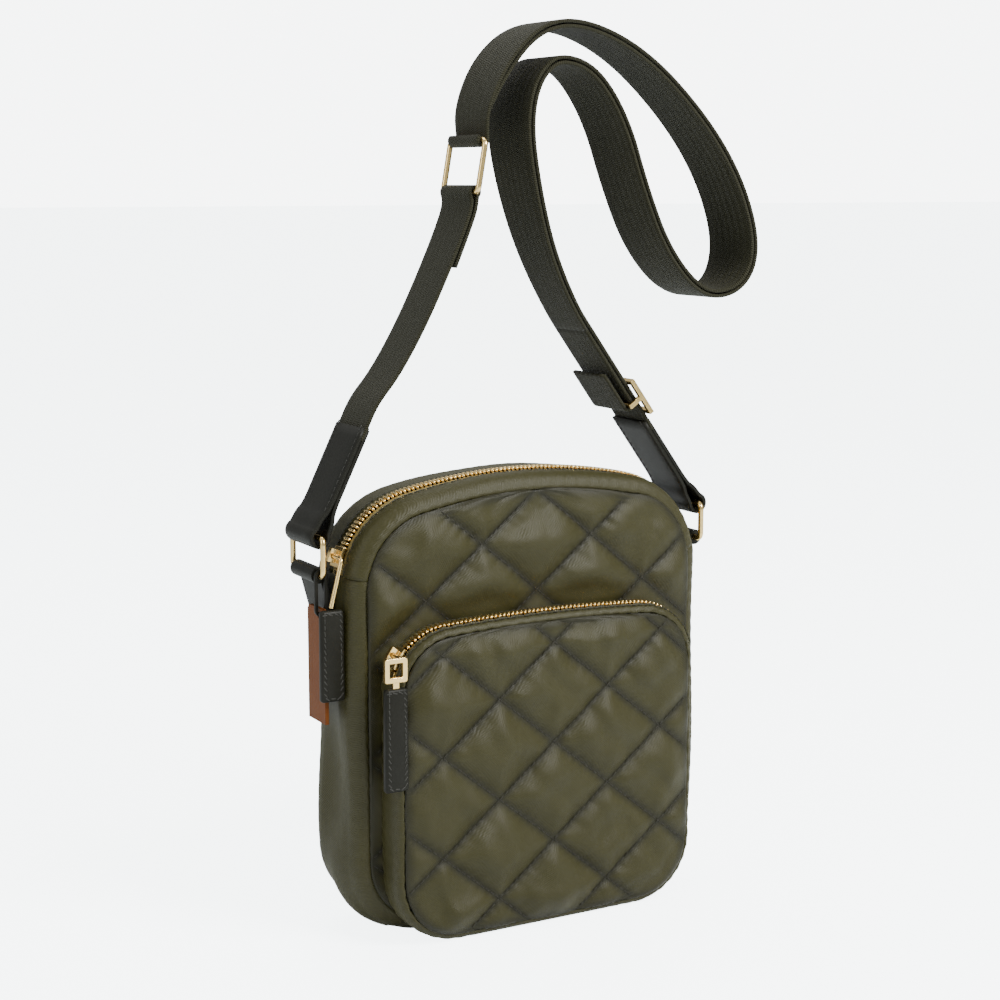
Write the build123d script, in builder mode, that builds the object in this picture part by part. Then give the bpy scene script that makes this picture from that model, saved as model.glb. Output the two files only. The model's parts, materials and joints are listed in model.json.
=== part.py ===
from build123d import *
from math import acos, atan2, cos, degrees, hypot, radians, sin, sqrt, tan
import os

# Small crossbody purse. Origin: centre of the base. +Z up, front towards -Y, millimetres.

# Main body
bag_half_width = 103.0
bag_height = 233.0
bag_half_depth = 24.0
bag_top_radius = 300.0
bag_shoulder_radius = 48.0
bag_corner_radius = 42.0
bag_wall = 3.0
bag_edge_round = 10.0

# Front pocket
pocket_half_width = 87.5
pocket_height = 163.5
pocket_depth = 18.0
pocket_top_radius = 900.0
pocket_shoulder_radius = 32.0
pocket_corner_radius = 35.0
pocket_wall = 2.5
pocket_edge_round = 4.5

# Inner pieces
lining_gap = 0.4
lining_thickness = 0.8
lining_slot_margin = 1.0
stiffener_thickness = 1.5
stiffener_end_gap = 3.0
binding_width = 2.0
binding_thickness = 2.5
binding_gap = 0.8

# Zips
tooth_gap = 1.2
tooth_row = 2.0
tooth_proud = 0.4
tooth_depth = 2.0
tape_recess = 0.6
tape_thickness = 1.2
zip_stop_length = 2.4
slider_gap = 0.35
slider_plate = 1.6
slider_under_plate = 1.4
slider_under_inset = 0.6
main_slider_inset = 1.5
pocket_slider_inset = 0.8
slider_length = 10.0
slider_post = 0.7
bridge_height = 4.4
bridge_width = 2.6
bridge_share = 0.62
bridge_hole_radius = 1.35
pin_radius = 1.1
main_zip_y = -5.0
main_slot_half = 6.0
main_slider_angle = 20.0
pocket_zip_y = -bag_half_depth - 8.6
pocket_slot_half = 4.8
pocket_slider_angle = 34.0

# Zip pulls
tab_width = 12.5
tab_thickness = 4.5
tab_corner = 2.1
main_pull_reach = 11.0
main_link_drop = 24.0
main_tab_length = 46.0
main_tab_gap = 1.2
main_tab_drop = 1.0
pocket_frame_size = 12.0
pocket_frame_bar = 2.4
pocket_frame_thickness = 2.6
pocket_frame_shift = 4.0
pocket_stub_width = 3.2
pocket_stub_thickness = 2.0
pocket_stub_length = 3.0
pocket_stub_overlap = 1.0
pocket_tab_length = 52.0
pocket_pull_gap = 0.4

# Rings and strap
webbing_width = 32.0
webbing_thickness = 2.0
layer_gap = 0.6
strap_y = 7.5
ring_clearance = 1.0
wire_radius = 1.5
ring_offset = 9.0
ring_rise = 8.6
ring_height = 19.0
tab_strip_width = 26.0
tab_strip_thickness = 3.0
tab_strip_length = 55.5
tab_strip_bend = 21.5
tab_strip_round = 20.0
tab_eye_skin = 2.4
fold_clearance = 0.2
strap_end_length = 58.0
strap_end_thickness = 5.0
strap_end_skin = 2.2
strap_end_loop_radius = 3.6
left_lean = 26.0
right_lean = 36.0
strap_ring_height = 26.0
strap_ring_lean = 10.0
strap_ring_offset = (-58.7, 59.1)
ring_lead = (3.0, 16.0)
short_lead = 14.0
straight_length = 62.0
straight_lead = 14.0
adjuster_length = 22.0
adjuster_start = 14.0
adjuster_bar = 2.4
adjuster_clearance = 0.35
fold_tail_length = 22.0

# Hang tag
tag_width = 20.0
tag_height = 58.0
tag_thickness = 2.0
tag_loop_thickness = 1.6
tag_loop_length = 17.0
tag_loop_clearance = 0.3
tag_side_gap = 0.6

# How far a cutting block runs past what it cuts
cut_margin = 1.0

os.makedirs("parts", exist_ok=True)


def save(piece, name):
    piece.part.label = name
    export_step(piece.part, f"parts/{name}.step")
    print(name, round(piece.part.volume, 1))


def upright(y):
    # vertical plane at the given y; its local axes are X and Z, and it extrudes towards the front
    return Plane.XZ.offset(-y)


def arch_sketch(half_width, height, top_radius, shoulder, corner, inset):
    # flat base, straight sides, arched top, rounded corners
    side = height - top_radius + sqrt(top_radius**2 - half_width**2)
    with BuildSketch() as sketch:
        with BuildLine():
            Polyline((-half_width, side), (-half_width, 0), (half_width, 0), (half_width, side))
            ThreePointArc((half_width, side), (0, height), (-half_width, side))
        make_face()
        fillet(sketch.vertices().sort_by(Axis.Y)[:2], corner)
        fillet(sketch.vertices().sort_by(Axis.Y)[-2:], shoulder)
        if inset:
            offset(amount=-inset, mode=Mode.REPLACE)
    return sketch.sketch


def bag_outline(inset):
    return arch_sketch(bag_half_width, bag_height, bag_top_radius, bag_shoulder_radius,
                       bag_corner_radius, inset)


def pocket_outline(inset):
    return arch_sketch(pocket_half_width, pocket_height, pocket_top_radius, pocket_shoulder_radius,
                       pocket_corner_radius, inset)


def slab(outline, y_front, y_back):
    with BuildPart() as piece:
        with BuildSketch(upright(y_back)):
            add(outline)
        extrude(amount=y_back - y_front)
    return piece.part


def rounded_slab(outline, y_front, y_back, front_round, back_round):
    with BuildPart() as piece:
        add(slab(outline, y_front, y_back))
        if front_round:
            fillet(piece.faces().sort_by(Axis.Y)[0].edges(), front_round)
        if back_round:
            fillet(piece.faces().sort_by(Axis.Y)[-1].edges(), back_round)
    return piece.part


def block(x_low, x_high, y_low, y_high, z_low, z_high):
    with BuildPart() as piece:
        with Locations(((x_high + x_low) / 2, (y_high + y_low) / 2, (z_high + z_low) / 2)):
            Box(x_high - x_low, y_high - y_low, z_high - z_low)
    return piece.part


def shoulder_centre(half_width, height, top_radius, shoulder):
    # centre of the left shoulder arc, which both the side and the arched top touch
    x = half_width - shoulder
    z = height - top_radius + sqrt((top_radius - shoulder) ** 2 - x**2)
    return -x, z


def zip_end(centre, shoulder, slider_angle):
    # height of the zip's end, so that the closed slider rests on the stop there
    low_angle = slider_angle - degrees(slider_length / shoulder) / 2
    return centre[1] + (shoulder - tooth_depth) * sin(radians(low_angle)) - zip_stop_length - 2 * slider_gap


main_centre = shoulder_centre(bag_half_width, bag_height, bag_top_radius, bag_shoulder_radius)
pocket_centre = shoulder_centre(pocket_half_width, pocket_height, pocket_top_radius, pocket_shoulder_radius)
main_zip_end = zip_end(main_centre, bag_shoulder_radius, main_slider_angle)
pocket_zip_end = zip_end(pocket_centre, pocket_shoulder_radius, pocket_slider_angle)
pocket_face = -bag_half_depth - pocket_depth
wide = 2 * bag_half_width
below_main_zip = block(-wide, wide, -wide, wide, -cut_margin, main_zip_end)
below_pocket_zip = block(-wide, wide, -wide, wide, -cut_margin, pocket_zip_end)

# Main panels

panel_outline = bag_outline(bag_edge_round)

with BuildPart() as front_panel:
    add(slab(panel_outline, -bag_half_depth, -bag_half_depth + bag_wall))
save(front_panel, "front_panel")

with BuildPart() as back_panel:
    add(slab(panel_outline, bag_half_depth - bag_wall, bag_half_depth))
save(back_panel, "back_panel")

# Gusset: sides and base below the zip's ends, a strip each side of the zip above them

inner_half_depth = bag_half_depth - bag_wall
inner_round = bag_edge_round - bag_wall
gusset_shell = (
    rounded_slab(bag_outline(0), -bag_half_depth, bag_half_depth, bag_edge_round, bag_edge_round)
    - rounded_slab(bag_outline(bag_wall), -inner_half_depth, inner_half_depth, inner_round, inner_round)
    - front_panel.part
    - back_panel.part
)
main_slot_front = main_zip_y - main_slot_half
main_slot_back = main_zip_y + main_slot_half

with BuildPart() as side_base_gusset:
    add(gusset_shell)
    add(below_main_zip, mode=Mode.INTERSECT)
save(side_base_gusset, "side_base_gusset")

with BuildPart() as zip_gusset_front:
    add(gusset_shell)
    add(block(-wide, wide, -wide, main_slot_front, main_zip_end, 2 * bag_height), mode=Mode.INTERSECT)
save(zip_gusset_front, "zip_gusset_front")

with BuildPart() as zip_gusset_back:
    add(gusset_shell)
    add(block(-wide, wide, main_slot_back, wide, main_zip_end, 2 * bag_height), mode=Mode.INTERSECT)
save(zip_gusset_back, "zip_gusset_back")

# Seam bindings, inside along both panels' edges

binding_centre = bag_edge_round - binding_width / 2
binding_y = inner_half_depth - binding_gap
binding_outer = bag_outline(binding_centre - binding_width / 2)
binding_ring = binding_outer - bag_outline(binding_centre + binding_width / 2)

with BuildPart() as front_seam_binding:
    add(slab(binding_ring, -binding_y, -binding_y + binding_thickness))
save(front_seam_binding, "front_seam_binding")

with BuildPart() as back_seam_binding:
    add(slab(binding_ring, binding_y - binding_thickness, binding_y))
save(back_seam_binding, "back_seam_binding")

# Lining, open under the zip, and the stiffener on its floor

lining_inset = bag_wall + lining_gap
lining_half_depth = binding_y - binding_thickness - lining_gap
lining_core_inset = lining_inset + lining_thickness
lining_core_depth = lining_half_depth - lining_thickness

with BuildPart() as main_lining:
    add(rounded_slab(bag_outline(lining_inset), -lining_half_depth, lining_half_depth,
                     inner_round, inner_round))
    add(
        rounded_slab(bag_outline(lining_core_inset), -lining_core_depth, lining_core_depth,
                     inner_round - lining_thickness, inner_round - lining_thickness),
        mode=Mode.SUBTRACT,
    )
    add(
        block(-wide, wide, main_slot_front - lining_slot_margin, main_slot_back + lining_slot_margin,
              main_zip_end, 2 * bag_height),
        mode=Mode.SUBTRACT,
    )
save(main_lining, "main_lining")

stiffener_z = lining_core_inset + lining_gap
stiffener_depth = 2 * (lining_core_depth - inner_round)
stiffener_length = 2 * (bag_half_width - bag_corner_radius - stiffener_end_gap)
with BuildPart() as base_stiffener:
    with Locations((0, 0, stiffener_z + stiffener_thickness / 2)):
        Box(stiffener_length, stiffener_depth, stiffener_thickness)
    fillet(base_stiffener.edges().filter_by(Axis.Z), stiffener_depth / 4)
save(base_stiffener, "base_stiffener")

# Front pocket

pocket_inner_face = pocket_face + pocket_wall
pocket_inner_round = pocket_edge_round - pocket_wall
pocket_slot_front = pocket_zip_y - pocket_slot_half
pocket_slot_back = pocket_zip_y + pocket_slot_half

with BuildPart() as pocket_front_panel:
    add(slab(pocket_outline(pocket_edge_round), pocket_face, pocket_inner_face))
save(pocket_front_panel, "pocket_front_panel")

pocket_shell = (
    rounded_slab(pocket_outline(0), pocket_face, -bag_half_depth, pocket_edge_round, 0)
    - rounded_slab(pocket_outline(pocket_wall), pocket_inner_face, -bag_half_depth, pocket_inner_round, 0)
    - pocket_front_panel.part
)

with BuildPart() as pocket_gusset:
    add(pocket_shell)
    add(below_pocket_zip, mode=Mode.INTERSECT)
save(pocket_gusset, "pocket_gusset")

with BuildPart() as pocket_top_front:
    add(pocket_shell)
    add(block(-wide, wide, -wide, pocket_slot_front, pocket_zip_end, bag_height), mode=Mode.INTERSECT)
save(pocket_top_front, "pocket_top_front")

with BuildPart() as pocket_top_back:
    add(pocket_shell)
    add(block(-wide, wide, pocket_slot_back, 0, pocket_zip_end, bag_height), mode=Mode.INTERSECT)
save(pocket_top_back, "pocket_top_back")

pocket_lining_inset = pocket_wall + lining_gap
pocket_lining_core = pocket_lining_inset + lining_thickness
with BuildPart() as pocket_lining:
    add(slab(pocket_outline(pocket_lining_inset), pocket_inner_face + lining_gap,
             -bag_half_depth - lining_gap))
    add(
        slab(
            pocket_outline(pocket_lining_core),
            pocket_inner_face + lining_gap + lining_thickness,
            -bag_half_depth - lining_gap - lining_thickness,
        ),
        mode=Mode.SUBTRACT,
    )
    # the corner outside the pocket's rounded front edge
    add(
        rounded_slab(pocket_outline(pocket_lining_inset), pocket_inner_face + lining_gap,
                     -bag_half_depth - lining_gap, pocket_inner_round, 0),
        mode=Mode.INTERSECT,
    )
    add(
        block(-wide, wide, pocket_slot_front - lining_slot_margin, pocket_slot_back + lining_slot_margin,
              pocket_zip_end, bag_height),
        mode=Mode.SUBTRACT,
    )
save(pocket_lining, "pocket_lining")

# Zips
# Each zip follows its outline over the arched top, from one side's end to the other's.


def zip_band(outline_of, inset_out, inset_in, y_low, y_high, z_low):
    with BuildPart() as band:
        add(slab(outline_of(inset_out), y_low, y_high))
        add(slab(outline_of(inset_in), y_low - cut_margin, y_high + cut_margin), mode=Mode.SUBTRACT)
        add(block(-wide, wide, -wide, wide, z_low, 2 * bag_height), mode=Mode.INTERSECT)
    return band.part


def zip_chain(prefix, outline_of, zip_y, slot_half, end_z):
    # tapes fill the slot each side of two tooth rows; a stop closes each end of the rows
    row_end = tooth_gap / 2 + tooth_row
    rows_z = end_z + zip_stop_length
    sides = {"front": (-slot_half, -row_end, -tooth_gap / 2), "back": (slot_half, row_end, tooth_gap / 2)}
    for side, (outer, edge, middle) in sides.items():
        tape_y = sorted((zip_y + outer, zip_y + edge))
        row_y = sorted((zip_y + edge, zip_y + middle))
        with BuildPart() as tape:
            add(zip_band(outline_of, tape_recess, tape_recess + tape_thickness, *tape_y, end_z))
        save(tape, f"{prefix}_zip_tape_{side}")
        with BuildPart() as row:
            add(zip_band(outline_of, -tooth_proud, tooth_depth, *row_y, rows_z))
        save(row, f"{prefix}_zip_teeth_{side}")
    with BuildPart() as stops:
        add(zip_band(outline_of, -tooth_proud, tooth_depth, zip_y - row_end, zip_y + row_end, end_z))
        add(block(-wide, wide, -wide, wide, rows_z, 2 * bag_height), mode=Mode.SUBTRACT)
    save(stops, f"{prefix}_zip_stops")


zip_chain("main", bag_outline, main_zip_y, main_slot_half, main_zip_end)
zip_chain("pocket", pocket_outline, pocket_zip_y, pocket_slot_half, pocket_zip_end)


def slider_body(centre, shoulder, zip_y, angle, half_width):
    # plates over and under the teeth, the post between the rows, and the bridge on top,
    # all turned about the shoulder's own centre so that they follow its arc
    middle = (centre[0], zip_y, centre[1])
    turn_axis = Axis(middle, (0, 1, 0))
    span = degrees(slider_length / shoulder)
    top_low = shoulder + tooth_proud + slider_gap
    top_high = top_low + slider_plate
    under_high = shoulder - tooth_depth - slider_gap
    under_low = under_high - slider_under_plate
    bridge_radius = top_high + bridge_height / 2

    def radial_plane(lean):
        start = radians(angle + lean)
        out = (-cos(start), 0, sin(start))
        return Plane(origin=middle, x_dir=out, z_dir=(-sin(start), 0, -cos(start)))

    def turned(x_low, x_high, half, arc):
        with BuildPart() as piece:
            with BuildSketch(radial_plane(arc / 2)):
                with Locations(((x_low + x_high) / 2, 0)):
                    Rectangle(x_high - x_low, 2 * half)
            revolve(axis=turn_axis.reverse(), revolution_arc=arc)
        return piece.part

    bridge_span = bridge_share * span
    turn = radians(angle)
    hole_at = (middle[0] - bridge_radius * cos(turn), middle[2] + bridge_radius * sin(turn))
    hole_plane = upright(zip_y + half_width)
    with BuildPart() as body:
        add(turned(top_low, top_high, half_width, span))
        add(turned(under_low, under_high, half_width - slider_under_inset, span))
        add(turned(under_low, top_high, slider_post / 2, span / 4))
        add(turned(top_high, top_high + bridge_height, bridge_width / 2, bridge_span))
        with BuildSketch(hole_plane):
            with Locations(hole_at):
                Circle(bridge_hole_radius)
        extrude(amount=2 * half_width, mode=Mode.SUBTRACT)
    return body, hole_at


main_slider_body, main_pivot = slider_body(
    main_centre, bag_shoulder_radius, main_zip_y, main_slider_angle, main_slot_half - main_slider_inset
)
save(main_slider_body, "main_slider_body")
pocket_slider_body, pocket_pivot = slider_body(
    pocket_centre, pocket_shoulder_radius, pocket_zip_y, pocket_slider_angle,
    pocket_slot_half - pocket_slider_inset
)
save(pocket_slider_body, "pocket_slider_body")
print("main pull pivot", main_pivot, "pocket pull pivot", pocket_pivot)


def bar_along_y(at, y_low, y_high, radius):
    with BuildPart() as bar:
        with BuildSketch(upright(y_high)):
            with Locations(at):
                Circle(radius)
        extrude(amount=y_high - y_low)
    return bar.part


# Main pull: wire through the bridge, forward past the ring, then down to a leather tab

main_tab_x = -bag_half_width - main_tab_gap - tab_width / 2
main_tab_top = main_pivot[1] - main_link_drop
main_pull_y = main_zip_y - main_pull_reach
with BuildPart() as main_pull_link:
    with BuildLine():
        FilletPolyline(
            (main_pivot[0], main_zip_y + bridge_width, main_pivot[1]),
            (main_pivot[0], main_pull_y, main_pivot[1]),
            (main_tab_x, main_pull_y, main_tab_top),
            radius=2 * pin_radius,
        )
    with BuildSketch(Plane(origin=(main_pivot[0], main_zip_y + bridge_width, main_pivot[1]),
                           z_dir=(0, -1, 0))):
        Circle(pin_radius)
    sweep()
save(main_pull_link, "main_pull_link")

with BuildPart() as main_pull_tab:
    add(
        block(
            main_tab_x - tab_width / 2, main_tab_x + tab_width / 2,
            main_pull_y - tab_thickness / 2, main_pull_y + tab_thickness / 2,
            main_tab_top - main_tab_length - main_tab_drop, main_tab_top - main_tab_drop,
        )
    )
    fillet(main_pull_tab.edges().filter_by(Axis.Y), tab_corner)
save(main_pull_tab, "main_pull_tab")

# Pocket pull: pin through the bridge, square frame in front of the pocket, leather tab below it

pocket_pull_back = pocket_face - pocket_pull_gap
pocket_pull_y = pocket_pull_back - tab_thickness / 2
frame_x = pocket_pivot[0] - pocket_frame_shift
frame_top = pocket_pivot[1] + pocket_frame_bar / 2
frame_bottom = frame_top - pocket_frame_size
with BuildPart() as pocket_pull_ring:
    with BuildSketch(upright(pocket_pull_y + pocket_frame_thickness / 2)):
        with Locations((frame_x, (frame_top + frame_bottom) / 2)):
            RectangleRounded(pocket_frame_size, pocket_frame_size, pocket_frame_bar / 2)
            Rectangle(pocket_frame_size - 2 * pocket_frame_bar, pocket_frame_size - 2 * pocket_frame_bar,
                      mode=Mode.SUBTRACT)
    extrude(amount=pocket_frame_thickness)
    add(bar_along_y(pocket_pivot, pocket_pull_y, pocket_zip_y + bridge_width, pin_radius))
    add(
        block(
            frame_x - pocket_stub_width / 2, frame_x + pocket_stub_width / 2,
            pocket_pull_y - pocket_stub_thickness / 2, pocket_pull_y + pocket_stub_thickness / 2,
            frame_bottom - pocket_stub_length, frame_bottom + pocket_stub_overlap,
        )
    )
save(pocket_pull_ring, "pocket_pull_ring")

with BuildPart() as pocket_pull_tab:
    add(
        block(
            frame_x - tab_width / 2, frame_x + tab_width / 2,
            pocket_pull_y - tab_thickness / 2, pocket_pull_y + tab_thickness / 2,
            frame_bottom - pocket_stub_length - pocket_tab_length, frame_bottom - pocket_stub_length,
        )
    )
    fillet(pocket_pull_tab.edges().filter_by(Axis.Y), tab_corner)
save(pocket_pull_tab, "pocket_pull_tab")

# Rings and the leather tabs that hold them to the sides

ring_x = bag_half_width + ring_offset
ring_half = webbing_width / 2 + ring_clearance + wire_radius
ring_bottom_z = main_centre[1] + ring_rise
ring_top_z = ring_bottom_z + ring_height
fold_inner = wire_radius + fold_clearance


def wire_loop(corners, radius):
    # closed rectangular loop of round wire
    start = (Vector(corners[0]) + Vector(corners[1])) * 0.5
    along = (Vector(corners[1]) - Vector(corners[0])).normalized()
    with BuildPart() as loop:
        with BuildLine():
            FilletPolyline(*corners, radius=radius, close=True)
        with BuildSketch(Plane(origin=start, z_dir=along)):
            Circle(wire_radius)
        sweep()
    return loop.part


for side, sign in (("left", -1), ("right", 1)):
    x = sign * ring_x
    low_y = strap_y - ring_half
    high_y = strap_y + ring_half
    with BuildPart() as ring:
        add(
            wire_loop(
                [(x, low_y, ring_bottom_z), (x, high_y, ring_bottom_z),
                 (x, high_y, ring_top_z), (x, low_y, ring_top_z)],
                2 * wire_radius,
            )
        )
    save(ring, f"{side}_ring")

    strip_x = bag_half_width + tab_strip_thickness / 2
    with BuildPart() as ring_tab:
        with BuildSketch(upright(strap_y + tab_strip_width / 2)):
            with BuildLine():
                FilletPolyline(
                    (sign * strip_x, ring_bottom_z - tab_strip_length),
                    (sign * strip_x, ring_bottom_z - tab_strip_bend),
                    (x - sign * fold_inner, ring_bottom_z),
                    radius=tab_strip_round,
                )
            trace(line_width=tab_strip_thickness)
            with Locations((x, ring_bottom_z)):
                Circle(fold_inner + tab_eye_skin)
                Circle(fold_inner, mode=Mode.SUBTRACT)
        extrude(amount=tab_strip_width)
    save(ring_tab, f"{side}_ring_tab")

# Leather strap ends, looped loosely round the rings' top bars

end_tops = {}
for side, sign, lean in (("left", -1, left_lean), ("right", 1, right_lean)):
    x = sign * ring_x
    direction = (-sign * sin(radians(lean)), cos(radians(lean)))
    end_tops[side] = (x + direction[0] * strap_end_length, ring_top_z + direction[1] * strap_end_length)
    middle = (x + direction[0] * strap_end_length / 2, ring_top_z + direction[1] * strap_end_length / 2)
    with BuildPart() as strap_end:
        with BuildSketch(upright(strap_y + webbing_width / 2)):
            with Locations(Location((middle[0], middle[1], 0), (0, 0, sign * lean))):
                Rectangle(strap_end_thickness, strap_end_length)
            with Locations((x, ring_top_z)):
                Circle(strap_end_loop_radius + strap_end_skin)
                Circle(strap_end_loop_radius, mode=Mode.SUBTRACT)
        extrude(amount=webbing_width)
    save(strap_end, f"{side}_strap_end")

# Strap routes in the X-Z plane, from the left end up over the top, round the slack loop and down


def corner_radii(points):
    radii = []
    for before, here, after in zip(points, points[1:], points[2:]):
        first = (here[0] - before[0], here[1] - before[1])
        second = (after[0] - here[0], after[1] - here[1])
        shorter = min(hypot(*first), hypot(*second))
        cosine = (first[0] * second[0] + first[1] * second[1]) / (hypot(*first) * hypot(*second))
        half_turn = acos(max(-1, min(1, cosine))) / 2
        radii.append(0.45 * shorter / tan(half_turn))
    return radii


def beside(points, distance):
    # the same route, moved sideways to its left
    moved = []
    for i, here in enumerate(points):
        before = points[max(i - 1, 0)]
        after = points[min(i + 1, len(points) - 1)]
        first = atan2(here[1] - before[1], here[0] - before[0]) if i else None
        second = atan2(after[1] - here[1], after[0] - here[0]) if i < len(points) - 1 else None
        ways = [way for way in (first, second) if way is not None]
        normal = (-sum(sin(way) for way in ways), sum(cos(way) for way in ways))
        length = hypot(*normal)
        mitre = distance * len(ways) / length
        moved.append((here[0] + normal[0] / length * mitre, here[1] + normal[1] / length * mitre))
    return moved


def ribbon(points, thickness):
    with BuildSketch() as sketch:
        with BuildLine():
            FilletPolyline(*points, radius=corner_radii(points))
        trace(line_width=thickness)
    return sketch.sketch


def fold_circle(at):
    with Locations(at):
        Circle(fold_inner + webbing_thickness)
        Circle(fold_inner, mode=Mode.SUBTRACT)


straight_way = (-sin(radians(right_lean)), cos(radians(right_lean)))
straight_side = (straight_way[1], -straight_way[0])


def on_straight(along, side):
    # a point beside the straight stretch above the right strap end
    start = end_tops["right"]
    return (
        start[0] + along * straight_way[0] + side * straight_side[0],
        start[1] + along * straight_way[1] + side * straight_side[1],
    )


def beyond_end(side, lean, distance):
    # a point further along a strap end's own line
    sign = -1 if side == "left" else 1
    top = end_tops[side]
    return (top[0] - sign * sin(radians(lean)) * distance, top[1] + cos(radians(lean)) * distance)


def bowed(start, end, share, side):
    # a point at a share of the way from start to end, moved sideways to the left
    way = (end[0] - start[0], end[1] - start[1])
    length = hypot(*way)
    return (
        start[0] + way[0] * share - way[1] / length * side,
        start[1] + way[1] * share + way[0] / length * side,
    )


# everything above the straight stretch is placed from its upper end
knee = on_straight(straight_length + straight_lead, 0)
strap_ring_low = (knee[0] + strap_ring_offset[0], knee[1] + strap_ring_offset[1])
strap_ring_way = (sin(radians(strap_ring_lean)), cos(radians(strap_ring_lean)))
strap_ring_high = tuple(a + strap_ring_height * b for a, b in zip(strap_ring_low, strap_ring_way))
short_bows = [(0.235, -3.7), (0.451, -5.7), (0.708, -4.9), (0.9, -3.0)]
short_route = (
    [end_tops["left"], beyond_end("left", left_lean, short_lead)]
    + [bowed(end_tops["left"], strap_ring_low, share, side) for share, side in short_bows]
    + [strap_ring_low]
)

with BuildPart() as strap_webbing_short:
    with BuildSketch(upright(strap_y + webbing_width / 2)):
        add(ribbon(short_route, webbing_thickness))
        add(ribbon(beside(short_route[-3:], -webbing_thickness - layer_gap), webbing_thickness))
        fold_circle(strap_ring_low)
    extrude(amount=webbing_width)
save(strap_webbing_short, "strap_webbing_short")

with BuildPart() as strap_ring:
    add(
        wire_loop(
            [(strap_ring_low[0], strap_y - ring_half, strap_ring_low[1]),
             (strap_ring_low[0], strap_y + ring_half, strap_ring_low[1]),
             (strap_ring_high[0], strap_y + ring_half, strap_ring_high[1]),
             (strap_ring_high[0], strap_y - ring_half, strap_ring_high[1])],
            2 * wire_radius,
        )
    )
save(strap_ring, "strap_ring")

layer_shift = (webbing_thickness + layer_gap) / 2
loop_offsets = [
    (-39.2, 125.1), (-19.2, 142.1), (6.8, 144.1), (41.8, 129.1), (76.8, 98.1), (99.8, 67.1),
    (111.8, 35.1), (108.8, 14.1), (93.8, 3.1), (73.8, 8.1), (53.8, 30.1), (39.8, 61.1), (27.8, 96.1),
    (9.8, 121.1), (-10.2, 127.1), (-25.2, 115.1), (-30.2, 93.1), (-25.2, 63.1), (-15.2, 30.1),
]
loop_route = (
    [strap_ring_high, (strap_ring_high[0] + ring_lead[0], strap_ring_high[1] + ring_lead[1])]
    + [(knee[0] + dx, knee[1] + dz) for dx, dz in loop_offsets]
    + [knee]
)
down_route = loop_route + [end_tops["right"]]

with BuildPart() as strap_webbing_long:
    with BuildSketch(upright(strap_y + webbing_width / 2)):
        add(ribbon(beside(down_route, layer_shift)[:-1] + [on_straight(0, layer_shift)], webbing_thickness))
        fold_circle(strap_ring_high)
    extrude(amount=webbing_width)
save(strap_webbing_long, "strap_webbing_long")

# The under layer of the doubled webbing, down to the straight stretch, and the stretch that changes length


def straight_strip(along_low, along_high, side, thickness):
    # section of a flat piece that lies along the straight stretch
    middle = on_straight((along_low + along_high) / 2, side)
    with BuildSketch() as sketch:
        with Locations(Location((middle[0], middle[1], 0), (0, 0, right_lean))):
            Rectangle(thickness, along_high - along_low)
    return sketch.sketch


with BuildPart() as strap_webbing_return:
    with BuildSketch(upright(strap_y + webbing_width / 2)):
        under_route = beside(down_route, -layer_shift)[1:-1]
        add(ribbon(under_route + [on_straight(straight_length, -layer_shift)], webbing_thickness))
    extrude(amount=webbing_width)
save(strap_webbing_return, "strap_webbing_return")

bar_side = -layer_shift - webbing_thickness / 2 - adjuster_clearance - adjuster_bar / 2
fold_radius = adjuster_bar / 2 + adjuster_clearance
with BuildPart() as strap_webbing_stretch:
    with BuildSketch(upright(strap_y + webbing_width / 2)):
        add(straight_strip(adjuster_start, straight_length, -layer_shift, webbing_thickness))
    extrude(amount=webbing_width)
save(strap_webbing_stretch, "strap_webbing_stretch")

with BuildPart() as strap_fold:
    with BuildSketch(upright(strap_y + webbing_width / 2)):
        with Locations(on_straight(adjuster_start, bar_side)):
            Circle(fold_radius + webbing_thickness)
            Circle(fold_radius, mode=Mode.SUBTRACT)
        add(
            straight_strip(adjuster_start, adjuster_start + 3 * fold_radius, bar_side + fold_radius,
                           2 * webbing_thickness),
            mode=Mode.SUBTRACT,
        )
        add(
            straight_strip(adjuster_start, adjuster_start + fold_tail_length,
                           bar_side - fold_radius - webbing_thickness / 2, webbing_thickness)
        )
    extrude(amount=webbing_width)
save(strap_fold, "strap_fold")

# Adjuster: a flat three-bar slider; the middle bar carries the fold, the outer bars lie over the webbing

over_side = layer_shift + webbing_thickness / 2 + adjuster_clearance + adjuster_bar / 2
adjuster_inner = webbing_width / 2 + ring_clearance
adjuster_outer = adjuster_inner + adjuster_bar
end_bar_low = adjuster_start - adjuster_length / 2 + adjuster_bar / 2
end_bar_high = adjuster_start + adjuster_length / 2 - adjuster_bar / 2
with BuildPart() as strap_slider:
    with BuildSketch(upright(strap_y + adjuster_outer)):
        for middle in (end_bar_low, end_bar_high):
            add(straight_strip(middle - adjuster_bar / 2, middle + adjuster_bar / 2, over_side,
                               adjuster_bar))
        with Locations(on_straight(adjuster_start, bar_side)):
            Circle(adjuster_bar / 2)
    extrude(amount=2 * adjuster_outer)
    for y in (strap_y + adjuster_outer, strap_y - adjuster_inner):
        with BuildSketch(upright(y)):
            add(straight_strip(adjuster_start - adjuster_length / 2, adjuster_start + adjuster_length / 2,
                               over_side, adjuster_bar))
            add(straight_strip(adjuster_start - adjuster_bar / 2, adjuster_start + adjuster_bar / 2,
                               (over_side + bar_side) / 2, over_side - bar_side + adjuster_bar))
        extrude(amount=adjuster_bar)
save(strap_slider, "strap_slider")

# Hang tag beside the left ring tab, on a loop round the ring's bottom bar

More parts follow.
